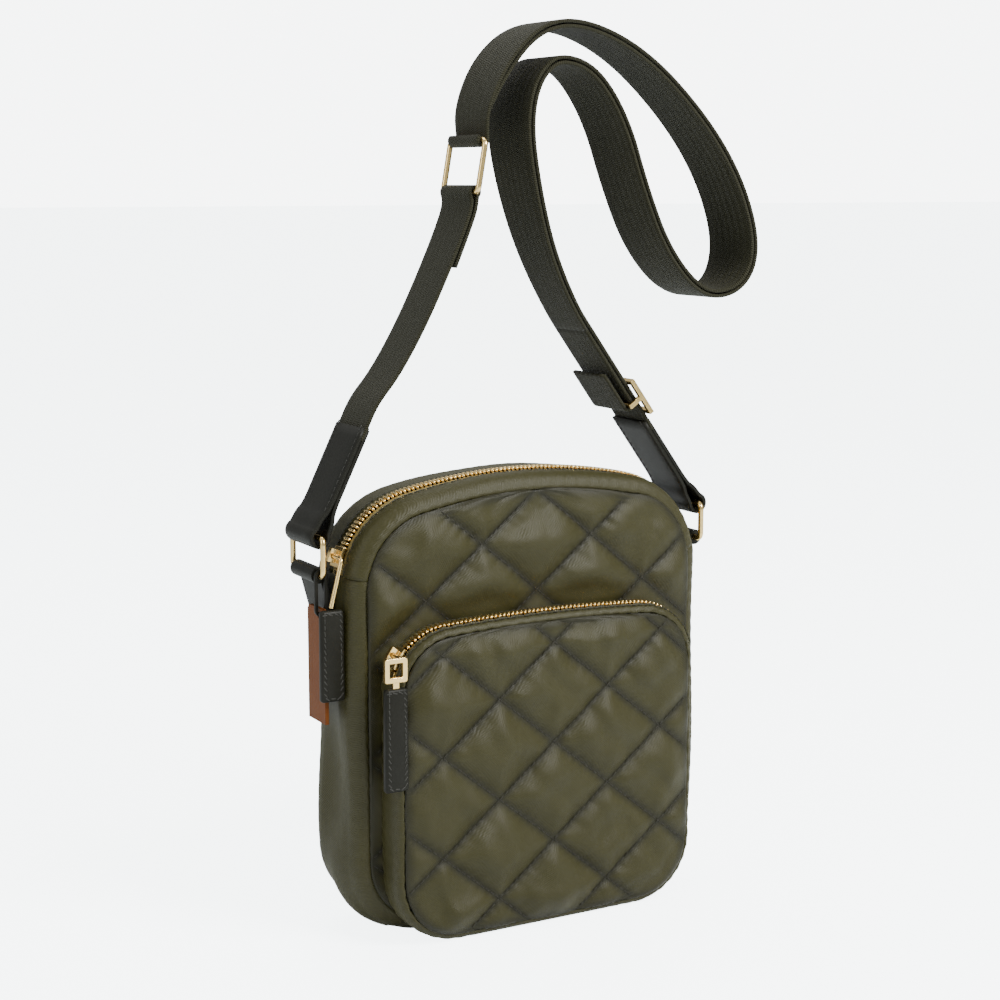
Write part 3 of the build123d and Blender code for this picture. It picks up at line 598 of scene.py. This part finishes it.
for name, profile, seed, nodeName in (("zipGussetFront", zipFront, 13, "zip_gusset_front"),
                                      ("zipGussetBack", zipBack, 17, "zip_gusset_back")):
    gussetStrip(name, bagShape, profile, lambda p: p[1] > mainZipEnd, seed, [nodeName], 0.0011, 0.0004)

pocketFront = [(inset, y + bagDepth + pocketFace) for inset, y in roundProfile(bagDepth, pocketRound, 6)]
pocketBackY = -bagDepth + gusset["seamTuck"]
pocketMiddle = [(-0.0003, y) for y in np.linspace(pocketFace + pocketRound + 0.001, pocketBackY - 0.002, 6)]
pocketTuck = [(0.0012, pocketBackY)]
gussetStrip("pocketGusset", pocketShape, pocketFront + pocketMiddle + pocketTuck,
            lambda p: p[1] < pocketZipEnd + 0.0004, 19, ["pocket_gusset"], 0.0012, 0.0005)
slotFront, slotBack = pocketZipY - pocketSlotHalf, pocketZipY + pocketSlotHalf
topFront = pocketFront + [(0, slotFront - 0.0003), (gusset["pocketSlotTuck"], slotFront + 0.0002)]
topBack = [(gusset["pocketSlotTuck"], slotBack - 0.0002), (0, slotBack + 0.0003), (0, pocketBackY - 0.001)]
topBack += pocketTuck
for name, profile, seed, nodeName in (("pocketTopFront", topFront, 23, "pocket_top_front"),
                                      ("pocketTopBack", topBack, 29, "pocket_top_back")):
    gussetStrip(name, pocketShape, profile, lambda p: p[1] > pocketZipEnd, seed, [nodeName], 0.0009, 0.0002)
print("stage: gussets")

# Repeats by geometry nodes: one small mesh set along a curve


def repeatGroup(name):
    group = bpy.data.node_groups.new(name, "GeometryNodeTree")
    sockets = [
        ("Geometry", "NodeSocketGeometry", None), ("Item", "NodeSocketObject", None),
        ("Pitch", "NodeSocketFloat", 0.002), ("Size variation", "NodeSocketFloat", 0.03),
        ("Turn variation", "NodeSocketFloat", 0.03), ("Seed", "NodeSocketInt", 7),
        ("Material", "NodeSocketMaterial", None),
    ]
    for label, kind, value in sockets:
        socket = group.interface.new_socket(label, in_out="INPUT", socket_type=kind)
        if value is not None:
            socket.default_value = value
    group.interface.new_socket("Geometry", in_out="OUTPUT", socket_type="NodeSocketGeometry")
    ins, outs = group.nodes.new("NodeGroupInput"), group.nodes.new("NodeGroupOutput")
    link = group.links.new
    toPoints = node(group, "GeometryNodeCurveToPoints", {"mode": "LENGTH"})
    toCurve = node(group, "GeometryNodeMeshToCurve")
    link(ins.outputs["Geometry"], toCurve.inputs["Mesh"])
    link(ins.outputs["Pitch"], toPoints.inputs["Length"])
    up = node(group, "GeometryNodeInputNamedAttribute", {"data_type": "FLOAT_VECTOR"}, {"Name": "up"})
    keepUp = node(group, "GeometryNodeCaptureAttribute", {"domain": "POINT"})
    keepUp.capture_items.new("VECTOR", "Up")
    link(toCurve.outputs["Curve"], keepUp.inputs["Geometry"])
    link(up.outputs["Attribute"], keepUp.inputs["Up"])
    link(keepUp.outputs["Geometry"], toPoints.inputs["Curve"])
    byTangent = node(group, "FunctionNodeAlignRotationToVector", {"axis": "X"})
    link(toPoints.outputs["Tangent"], byTangent.inputs["Vector"])
    byUp = node(group, "FunctionNodeAlignRotationToVector", {"axis": "Z", "pivot_axis": "X"})
    link(byTangent.outputs["Rotation"], byUp.inputs["Rotation"])
    link(keepUp.outputs["Up"], byUp.inputs["Vector"])
    info = node(group, "GeometryNodeObjectInfo", None, {"As Instance": True})
    link(ins.outputs["Item"], info.inputs["Object"])
    turn = node(group, "FunctionNodeRandomValue", {"data_type": "FLOAT_VECTOR"})
    low = node(group, "ShaderNodeVectorMath", {"operation": "SCALE"}, {0: (-1, -1, -1)})
    high = node(group, "ShaderNodeVectorMath", {"operation": "SCALE"}, {0: (1, 1, 1)})
    link(ins.outputs["Turn variation"], low.inputs["Scale"])
    link(ins.outputs["Turn variation"], high.inputs["Scale"])
    link(low.outputs["Vector"], turn.inputs["Min"])
    link(high.outputs["Vector"], turn.inputs["Max"])
    link(ins.outputs["Seed"], turn.inputs["Seed"])
    mixTurn = node(group, "FunctionNodeRotateRotation", {"rotation_space": "LOCAL"})
    link(byUp.outputs["Rotation"], mixTurn.inputs["Rotation"])
    toRotation = node(group, "FunctionNodeEulerToRotation")
    link(turn.outputs["Value"], toRotation.inputs["Euler"])
    link(toRotation.outputs["Rotation"], mixTurn.inputs["Rotate By"])
    size = node(group, "FunctionNodeRandomValue", {"data_type": "FLOAT"})
    small = mathNode(group, "SUBTRACT", 1.0, ins.outputs["Size variation"])
    large = mathNode(group, "ADD", ins.outputs["Size variation"], 1.0)
    link(small, size.inputs["Min"])
    link(large, size.inputs["Max"])
    link(ins.outputs["Seed"], size.inputs["Seed"])
    put = node(group, "GeometryNodeInstanceOnPoints")
    link(toPoints.outputs["Points"], put.inputs["Points"])
    link(info.outputs["Geometry"], put.inputs["Instance"])
    link(mixTurn.outputs["Rotation"], put.inputs["Rotation"])
    link(size.outputs["Value"], put.inputs["Scale"])
    real = node(group, "GeometryNodeRealizeInstances")
    link(put.outputs["Instances"], real.inputs["Geometry"])
    paint = node(group, "GeometryNodeSetMaterial")
    link(real.outputs["Geometry"], paint.inputs["Geometry"])
    link(ins.outputs["Material"], paint.inputs["Material"])
    link(paint.outputs["Geometry"], outs.inputs["Geometry"])
    return group


repeatAlong = repeatGroup("repeatAlongPath")


def setInput(modifier, label, value):
    for item in modifier.node_group.interface.items_tree:
        if item.item_type == "SOCKET" and item.in_out == "INPUT" and item.name == label:
            modifier[item.identifier] = value


def repeated(name, paths, item, pitch, material, body, slotName, sizeVary, turnVary, nodes=(), seed=7):
    # paths is a list of lists of (point, up)
    verts, edges, ups = [], [], []
    for path in paths:
        start = len(verts)
        verts += [tuple(p) for p, _ in path]
        ups += [tuple(n) for _, n in path]
        edges += [(start + i, start + i + 1) for i in range(len(path) - 1)]
    mesh = bpy.data.meshes.new(name)
    mesh.from_pydata(verts, edges, [])
    attribute = mesh.attributes.new("up", "FLOAT_VECTOR", "POINT")
    attribute.data.foreach_set("vector", np.array(ups, dtype=np.float32).ravel())
    obj = bpy.data.objects.new(name, mesh)
    bpy.context.scene.collection.objects.link(obj)
    modifier = obj.modifiers.new("repeat", "NODES")
    modifier.node_group = repeatAlong
    values = {"Item": item, "Pitch": pitch, "Size variation": sizeVary, "Turn variation": turnVary,
              "Seed": seed, "Material": materials[material]}
    for label, value in values.items():
        setInput(modifier, label, value)
    applyModifiers(obj)
    place(obj, material, body, slotName, nodes)


def roundedBlock(name, size, bevel, segments=1):
    mesh = bpy.data.meshes.new(name)
    x, y, z = (s / 2 for s in size)
    corners = [(sx * x, sy * y, sz * z) for sx in (-1, 1) for sy in (-1, 1) for sz in (-1, 1)]
    sides = [(0, 1, 3, 2), (4, 6, 7, 5), (0, 4, 5, 1), (2, 3, 7, 6), (0, 2, 6, 4), (1, 5, 7, 3)]
    mesh.from_pydata(corners, [], sides)
    obj = bpy.data.objects.new(name, mesh)
    bpy.context.scene.collection.objects.link(obj)
    modifier = obj.modifiers.new("round", "BEVEL")
    modifier.width = bevel
    modifier.segments = segments
    applyModifiers(obj)
    obj.data.polygons.foreach_set("use_smooth", [True] * len(obj.data.polygons))
    return obj


teeth = {"size": (0.0014, 0.0033, 0.0024), "bevel": 0.0004, "pitch": 0.0024, "aside": 0.0013, "lift": 0.0001,
         "fromEnd": 0.0026}
thread = {"size": (0.0026, 0.00055, 0.00045), "bevel": 0.00018, "pitch": 0.0034, "tabPitch": 0.0030}
tooth = roundedBlock("toothPattern", teeth["size"], teeth["bevel"])
stitch = roundedBlock("stitchPattern", thread["size"], thread["bevel"])

# Zip teeth: two rows that mesh, half a pitch apart


def toothRows(name, shape, zipY, endZ, nodes):
    outline = outlinePath(shape, 0.001)
    top = [p for p in outline if p[1] > endZ + teeth["fromEnd"]]
    paths = []
    for side in (-1, 1):
        skip = 0 if side < 0 else teeth["pitch"] / 2
        row = []
        travelled = 0.0
        for here, after in zip(top, top[1:]):
            travelled += math.hypot(after[0] - here[0], after[1] - here[1])
            if travelled > skip:
                lift = teeth["lift"]
                at = (here[0] + here[2] * lift, zipY + side * teeth["aside"], here[1] + here[3] * lift)
                row.append((at, (here[2], 0, here[3])))
        paths.append(row)
    repeated(name, paths, tooth, teeth["pitch"], "gold", "bag", "gold", 0.0, 0.02, nodes, 3)


toothRows("mainZipTeeth", bagShape, mainZipY, mainZipEnd, ["main_zip_teeth_front", "main_zip_teeth_back"])
toothRows("pocketZipTeeth", pocketShape, pocketZipY, pocketZipEnd,
          ["pocket_zip_teeth_front", "pocket_zip_teeth_back"])
print("stage: zip teeth")

# Stitches on the quilted panels: they lie in the valleys of the sewn diamonds


def quiltStitches(name, panel, shape, inset, outward, centre, y):
    mesh = panel.data
    tree = BVHTree.FromPolygons([v.co for v in mesh.vertices], [p.vertices for p in mesh.polygons])
    outline = outlinePath(shape, 0.002)
    ring = outline[:, :2] - outline[:, 2:] * (inset + 0.002)
    half = float(ring[:, 0].max())
    high = float(ring[:, 1].max())

    def inside(px, pz):
        crossings = 0
        for (ax, az), (bx, bz) in zip(ring, np.roll(ring, -1, axis=0)):
            if (az > pz) != (bz > pz) and px < (bx - ax) * (pz - az) / (bz - az) + ax:
                crossings += 1
        return crossings % 2 == 1

    paths = []
    for sign in (1, -1):
        for number in range(-12, 13):
            run = []
            for t in np.arange(-0.02, high + 0.02, 0.003):
                px = centre[0] + quilt["width"] * (number - sign * (t - centre[1]) / quilt["height"])
                if abs(px) > half or not inside(px, t):
                    continue
                hit = tree.ray_cast(Vector((px, y + outward * 0.03, t)), Vector((0, -outward, 0)))
                if hit[0] is not None:
                    run.append((hit[0] + hit[1] * 0.00012, hit[1]))
            if len(run) > 2:
                paths.append(run)
    repeated(name, paths, stitch, thread["pitch"], "thread", "bag", "quilted_nylon", 0.05, 0.05, seed=5)


quiltStitches("frontStitches", frontPanel, bagShape, panelInset["bag"], -1, diamondCentre["front"], -bagDepth)
quiltStitches("backStitches", backPanel, bagShape, panelInset["bag"], 1, diamondCentre["back"], bagDepth)
quiltStitches("pocketStitches", pocketPanel, pocketShape, panelInset["pocket"], -1, diamondCentre["pocket"],
              pocketFace)
print("stage: quilt stitches")

# Strap: flat ribbons swept along their routes, in the X-Z plane at strapY

strap = {"width": 0.032, "thickness": 0.002, "layerShift": 0.0013, "rightLean": 36.0, "leftLean": 26.0,
         "endLength": 0.058, "wire": 0.0015, "turn": 12.0, "straight": 0.062, "lead": 0.014,
         "sewnLayer": 0.0026, "wireEye": 0.0026, "underLeather": 0.006, "bend": 0.008, "ringLean": 10.0,
         "ringHeight": 0.026}
fold = {"start": 0.014, "barSide": -0.00385, "radius": 0.00255, "tail": (0.036, 0.029, 0.021, 0.015)}


def leanWay(degreesFromUp):
    angle = math.radians(degreesFromUp)
    return Vector((math.sin(angle), math.cos(angle)))


def ringTop(name):
    low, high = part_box(name)
    return Vector(((low.x + high.x) / 2, high.z - strap["wire"]))


leftWay, rightWay = leanWay(strap["leftLean"]), leanWay(-strap["rightLean"])
leftTop = ringTop("left_ring") + leftWay * strap["endLength"]
rightTop = ringTop("right_ring") + rightWay * strap["endLength"]


def onStraight(along, side):
    # a point beside the straight stretch above the right strap end
    return rightTop + rightWay * along + Vector((rightWay.y, -rightWay.x)) * side


def bowed(start, end, share, side):
    way = end - start
    return start + way * share + Vector((-way.y, way.x)).normalized() * side


def beside(points, distance):
    # the same route, moved sideways to its left
    moved = []
    for i, here in enumerate(points):
        ways = []
        if i:
            ways.append((here - points[i - 1]).normalized())
        if i < len(points) - 1:
            ways.append((points[i + 1] - here).normalized())
        total = sum(ways, Vector((0, 0)))
        normal = Vector((-total.y, total.x))
        moved.append(here + normal.normalized() * distance * len(ways) / normal.length)
    return moved


def roundRoute(points, perCorner=9):
    # quadratic curve inside the corners of the route, through the middle of each run
    result = [points[0].copy()]
    for i in range(1, len(points) - 1):
        start = points[0] if i == 1 else (points[i - 1] + points[i]) / 2
        end = points[-1] if i == len(points) - 2 else (points[i] + points[i + 1]) / 2
        for k in range(1, perCorner + 1):
            t = k / perCorner
            result.append(start * (1 - t) ** 2 + points[i] * 2 * t * (1 - t) + end * t * t)
    return result


def ribbonFrames(route, turn, calmEnds):
    # each point's place, way, width direction and distance along; upright stretches turn about their own way,
    # and calmEnds fades that out: start ramp, still length at the end, end ramp
    points = [Vector((p.x, strapY, p.y)) for p in route]
    travelled = [0.0]
    for here, after in zip(points, points[1:]):
        travelled.append(travelled[-1] + (after - here).length)
    frames = []
    for i, here in enumerate(points):
        tangent = (points[min(i + 1, len(points) - 1)] - points[max(i - 1, 0)]).normalized()
        calm = 1.0
        if calmEnds:
            startRamp, endStill, endRamp = calmEnds
            calm = min(travelled[i] / startRamp, (travelled[-1] - travelled[i] - endStill) / endRamp, 1.0)
            calm = max(calm, 0.0)
        calm = calm * calm * (3 - 2 * calm)
        angle = math.radians(turn) * tangent.z * abs(tangent.z) * calm
        across = Quaternion(tangent, angle) @ Vector((0, 1, 0))
        frames.append((here, tangent, across, travelled[i]))
    return frames


def ribbonMesh(name, route, width, thickness, turn=0.0, calmEnds=None, roundness=0.42):
    half, corner = width / 2, thickness * roundness
    section = []
    for cornerX, cornerY, start in ((1, 1, 0), (-1, 1, 90), (-1, -1, 180), (1, -1, 270)):
        for k in range(4):
            angle = math.radians(start + 30 * k)
            section.append((cornerX * (half - corner) + corner * math.cos(angle),
                            cornerY * (thickness / 2 - corner) + corner * math.sin(angle)))
        if cornerY == cornerX:
            for share in (0.6, 0.2, -0.2, -0.6):
                section.append((cornerX * share * (half - corner), cornerY * thickness / 2))
    verts, uvs = [], []
    frames = ribbonFrames(route, turn, calmEnds)
    for here, tangent, across, travelled in frames:
        out = tangent.cross(across)
        for sideways, outwards in section:
            verts.append(here + across * sideways + out * outwards)
            uvs.append((sideways + half, travelled))
    count = len(section)
    faces = []
    for i in range(len(frames) - 1):
        for j in range(count):
            k = (j + 1) % count
            faces.append((i * count + j, i * count + k, (i + 1) * count + k, (i + 1) * count + j))
    faces.append(tuple(range(count)))
    faces.append(tuple((len(frames) - 1) * count + j for j in reversed(range(count))))
    obj = makeMesh(name, verts, faces, uvs)
    shell = bmesh.new()
    shell.from_mesh(obj.data)
    bmesh.ops.recalc_face_normals(shell, faces=shell.faces)
    shell.to_mesh(obj.data)
    shell.free()
    return obj, frames


def webbing(name, route, nodes, body="strap", turn=0.0, calmEnds=None):
    obj, frames = ribbonMesh(name, route, strap["width"], strap["thickness"], turn, calmEnds)
    place(obj, "webbing", body, "webbing", nodes)
    return obj


def eyeRoute(centre, way, radius, turnFrom=50, turnTo=310, steps=11):
    # round a wire: angles are measured from the way the strap leaves it
    sideways = Vector((way.y, -way.x))
    return [centre + way * radius * math.cos(a) + sideways * radius * math.sin(a)
            for a in np.radians(np.linspace(turnFrom, turnTo, steps))]


knee = onStraight(strap["straight"] + strap["lead"], 0)
strapRingLow = knee + Vector((-0.0587, 0.0591))
strapRingHigh = strapRingLow + leanWay(strap["ringLean"]) * strap["ringHeight"]
shortBows = [(0.235, -0.0037), (0.451, -0.0057), (0.708, -0.0049), (0.9, -0.0030)]
shortRoute = [leftTop - leftWay * strap["underLeather"], leftTop, leftTop + leftWay * strap["lead"]]
shortRoute += [bowed(leftTop, strapRingLow, share, side) for share, side in shortBows]
lastWay = (strapRingLow - shortRoute[-1]).normalized()
tail = beside(shortRoute[-2:] + [strapRingLow], -strap["sewnLayer"])
shortEnd = [shortRoute[-1] + lastWay * strap["bend"]] + eyeRoute(strapRingLow, -lastWay, strap["wireEye"])
shortRoute += shortEnd + [tail[1] + lastWay * strap["bend"], tail[1], tail[0]]
webbing("shortWebbing", roundRoute(shortRoute), ["strap_webbing_short"])

loopOffsets = [
    (-39.2, 125.1), (-19.2, 142.1), (6.8, 144.1), (41.8, 129.1), (76.8, 98.1), (99.8, 67.1),
    (111.8, 35.1), (108.8, 14.1), (93.8, 3.1), (73.8, 8.1), (53.8, 30.1), (39.8, 61.1), (27.8, 96.1),
    (9.8, 121.1), (-10.2, 127.1), (-25.2, 115.1), (-30.2, 93.1), (-25.2, 63.1), (-15.2, 30.1),
]
loopRoute = [strapRingHigh + Vector((0.003, 0.016))]
loopRoute += [knee + Vector((dx, dz)) / 1000 for dx, dz in loopOffsets] + [knee]
downRoute = [strapRingHigh] + loopRoute + [rightTop]
upperRoute = beside(downRoute, strap["layerShift"])
upWay = (loopRoute[0] - strapRingHigh).normalized()
upperRoute = eyeRoute(strapRingHigh, upWay, strap["wireEye"], 310, 50)[:-1] + upperRoute[1:-1]
upperRoute += [onStraight(s, strap["layerShift"]) for s in (strap["straight"], 0.004)]
upperRoute += [onStraight(-strap["underLeather"], strap["layerShift"] / 2)]
underRoute = beside(downRoute, -strap["layerShift"])[1:-1]
underRoute += [onStraight(strap["straight"], -strap["layerShift"])]
webbing("longWebbing", roundRoute(upperRoute), ["strap_webbing_long"], turn=strap["turn"],
        calmEnds=(0.07, 0.078, 0.10))
webbing("returnWebbing", roundRoute(underRoute), ["strap_webbing_return"], turn=strap["turn"],
        calmEnds=(0.055, 0.010, 0.10))
stretchRoute = [onStraight(s, -strap["layerShift"])
                for s in np.linspace(fold["start"], strap["straight"], 14)]
stretch = webbing("stretchWebbing", stretchRoute, ["strap_webbing_stretch"])
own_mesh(stretch)
foldRoute = [onStraight(s, fold["barSide"] - fold["radius"]) for s in fold["tail"]]
foldRoute += eyeRoute(onStraight(fold["start"], fold["barSide"]), rightWay, fold["radius"], 270, 90)
webbing("foldWebbing", roundRoute(foldRoute), ["strap_fold"], "adjuster")
print("stage: webbing")

# Leather: folded strap ends and pull tabs, each with a row of stitches along its edges

leather = {"thickness": 0.0022, "width": 0.0314, "eye": 0.0047, "stitchInset": 0.0024, "stitchPitch": 0.0036,
           "tabBevel": 0.0016, "tabInset": 0.0019, "tabWidening": 0.05, "closing": (0.030, 0.014),
           "neck": (0.0088, 0.0032), "layerGap": 0.00005, "flatFrom": 0.013}

for side, way in (("left", leftWay), ("right", rightWay)):
    ring = ringTop(side + "_ring")
    sideways = Vector((way.y, -way.x))
    offset = leather["thickness"] / 2 + leather["layerGap"]
    layer = [(s, offset) for s in (strap["endLength"], *leather["closing"])] + [leather["neck"]]
    down = [ring + way * s + sideways * n for s, n in layer]
    back = [ring + way * s - sideways * n for s, n in reversed(layer)]
    route = roundRoute(down + eyeRoute(ring, way, leather["eye"], 48, 312) + back)
    obj, frames = ribbonMesh(side + "LeatherEnd", route, leather["width"], leather["thickness"],
                             roundness=0.3)
    place(obj, "leather", "strap", "black_leather", [side + "_strap_end"])
    flat = [f for f in frames if (Vector((f[0].x, f[0].z)) - ring).dot(way) > leather["flatFrom"]]
    half = len(flat) // 2
    paths = []
    for layerFrames in (flat[:half], flat[half:]):
        for sign in (-1, 1):
            row = []
            for here, _, across, _ in layerFrames:
                out = Vector((here.x, here.z)) - ring
                outward = 1 if out.dot(sideways) > 0 else -1
                normal = Vector((sideways.x * outward, 0, sideways.y * outward))
                edge = across * sign * (leather["width"] / 2 - leather["stitchInset"])
                row.append((here + edge + normal * leather["thickness"] / 2, normal))
            paths.append(row)
    repeated(side + "EndStitches", paths, stitch, leather["stitchPitch"], "darkThread", "strap",
             "black_leather", 0.04, 0.04)


def leatherTab(name, cadNode, body):
    low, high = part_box(cadNode)
    size = [h - l for l, h in zip(low, high)]
    middle = (low + high) / 2
    obj = roundedBlock(name, size, leather["tabBevel"], 3)
    for vert in obj.data.vertices:
        # the tab widens a little towards its lower end
        vert.co.x *= 1.0 + leather["tabWidening"] * (0.5 - (vert.co.z / size[2] + 0.5))
        vert.co += middle
    place(obj, "leather", body, "black_leather", [cadNode])
    inset = leather["tabInset"]
    paths = []
    for sign in (-1, 1):
        y = middle.y + sign * size[1] / 2
        left, right = low.x + inset, high.x - inset
        base, top = low.z + inset, high.z - inset
        corners = [(left, top), (left, base), (right, base), (right, top), (left, top)]
        paths.append([((x, y, z), (0, sign, 0)) for x, z in corners])
    repeated(name + "Stitches", paths, stitch, thread["tabPitch"], "darkThread", body, "black_leather", 0.04,
             0.04)


leatherTab("mainPullTab", "main_pull_tab", "main_pull")
leatherTab("pocketPullTab", "pocket_pull_tab", "pocket_pull")
print("stage: leather")

# Topstitching beside the zips

topstitch = {"proud": 0.0001, "fromSlot": 0.0022}
for label, shape, zipY, half, endZ in (("main", bagShape, mainZipY, slotHalf, mainZipEnd),
                                       ("pocket", pocketShape, pocketZipY, pocketSlotHalf, pocketZipEnd)):
    path = [p for p in outlinePath(shape) if p[1] > endZ]
    for side, sign in (("Front", -1), ("Back", 1)):
        y = zipY + sign * (half + topstitch["fromSlot"])
        proud = topstitch["proud"]
        row = [((p[0] + p[2] * proud, y, p[1] + p[3] * proud), (p[2], 0, p[3])) for p in path]
        repeated(f"{label}Topstitch{side}", [row], stitch, thread["pitch"], "thread", "bag", "plain_nylon",
                 0.05, 0.05)

for pattern in (tooth, stitch):
    bpy.data.objects.remove(pattern)
print("stage: topstitching")

# Studio: the floor and the surroundings are brighter in the camera's view than the light they give

studio = {"backdrop": 7.0, "ambient": 0.55, "floorGlow": 5.6, "floorHalf": 30}
far = studio["floorHalf"]
floorMesh = makeMesh("floor", [(-far, -far, 0), (far, -far, 0), (far, far, 0), (-far, far, 0)], [(0, 1, 2, 3)])
floorValues = {"Base Color": (0.86, 0.90, 0.90, 1), "Roughness": 0.5, "Emission Color": (0.93, 0.99, 1.0, 1)}
floorMaterial, floorTree, floorShader = newMaterial("paleFloor", floorValues)
floorPath = node(floorTree, "ShaderNodeLightPath")
floorTree.links.new(mathNode(floorTree, "MULTIPLY", floorPath.outputs["Is Camera Ray"], studio["floorGlow"]),
                    floorShader.inputs["Emission Strength"])
floorMesh.data.materials.append(floorMaterial)

world = bpy.data.worlds.new("studio")
world.use_nodes = True
worldTree = world.node_tree
worldTree.nodes["Background"].inputs["Color"].default_value = (0.96, 0.99, 1.0, 1)
worldPath = node(worldTree, "ShaderNodeLightPath")
extra = mathNode(worldTree, "MULTIPLY", worldPath.outputs["Is Camera Ray"],
                 studio["backdrop"] - studio["ambient"])
worldTree.links.new(mathNode(worldTree, "ADD", extra, studio["ambient"]),
                    worldTree.nodes["Background"].inputs["Strength"])
bpy.context.scene.world = world


def softLight(name, at, target, size, power):
    data = bpy.data.lights.new(name, "AREA")
    data.shape = "RECTANGLE"
    data.size, data.size_y = size
    data.energy = power
    lamp = bpy.data.objects.new(name, data)
    lamp.location = at
    lamp.rotation_euler = (Vector(target) - Vector(at)).to_track_quat("-Z", "Y").to_euler()
    bpy.context.scene.collection.objects.link(lamp)


softLight("keyLight", (0.55, -1.1, 1.3), (0, 0, 0.15), (0.6, 0.6), 44)
softLight("sideLight", (-1.4, -0.3, 0.9), (0, 0, 0.2), (0.5, 1.2), 7)
softLight("topLight", (0.1, 0.5, 1.8), (0, 0, 0.2), (1.2, 1.0), 16)

# Camera

view = {"yaw": 29.2, "pitch": 9.0, "lens": 72.1, "at": (-0.5066, -0.8944, 0.3786)}
cameraData = bpy.data.cameras.new("camera")
cameraData.lens = view["lens"]
cameraData.sensor_width = 36
cameraData.clip_end = 100
camera = bpy.data.objects.new("camera", cameraData)
camera.location = view["at"]
camera.rotation_euler = (math.radians(90 - view["pitch"]), 0, -math.radians(view["yaw"]))
bpy.context.scene.collection.objects.link(camera)
bpy.context.scene.camera = camera
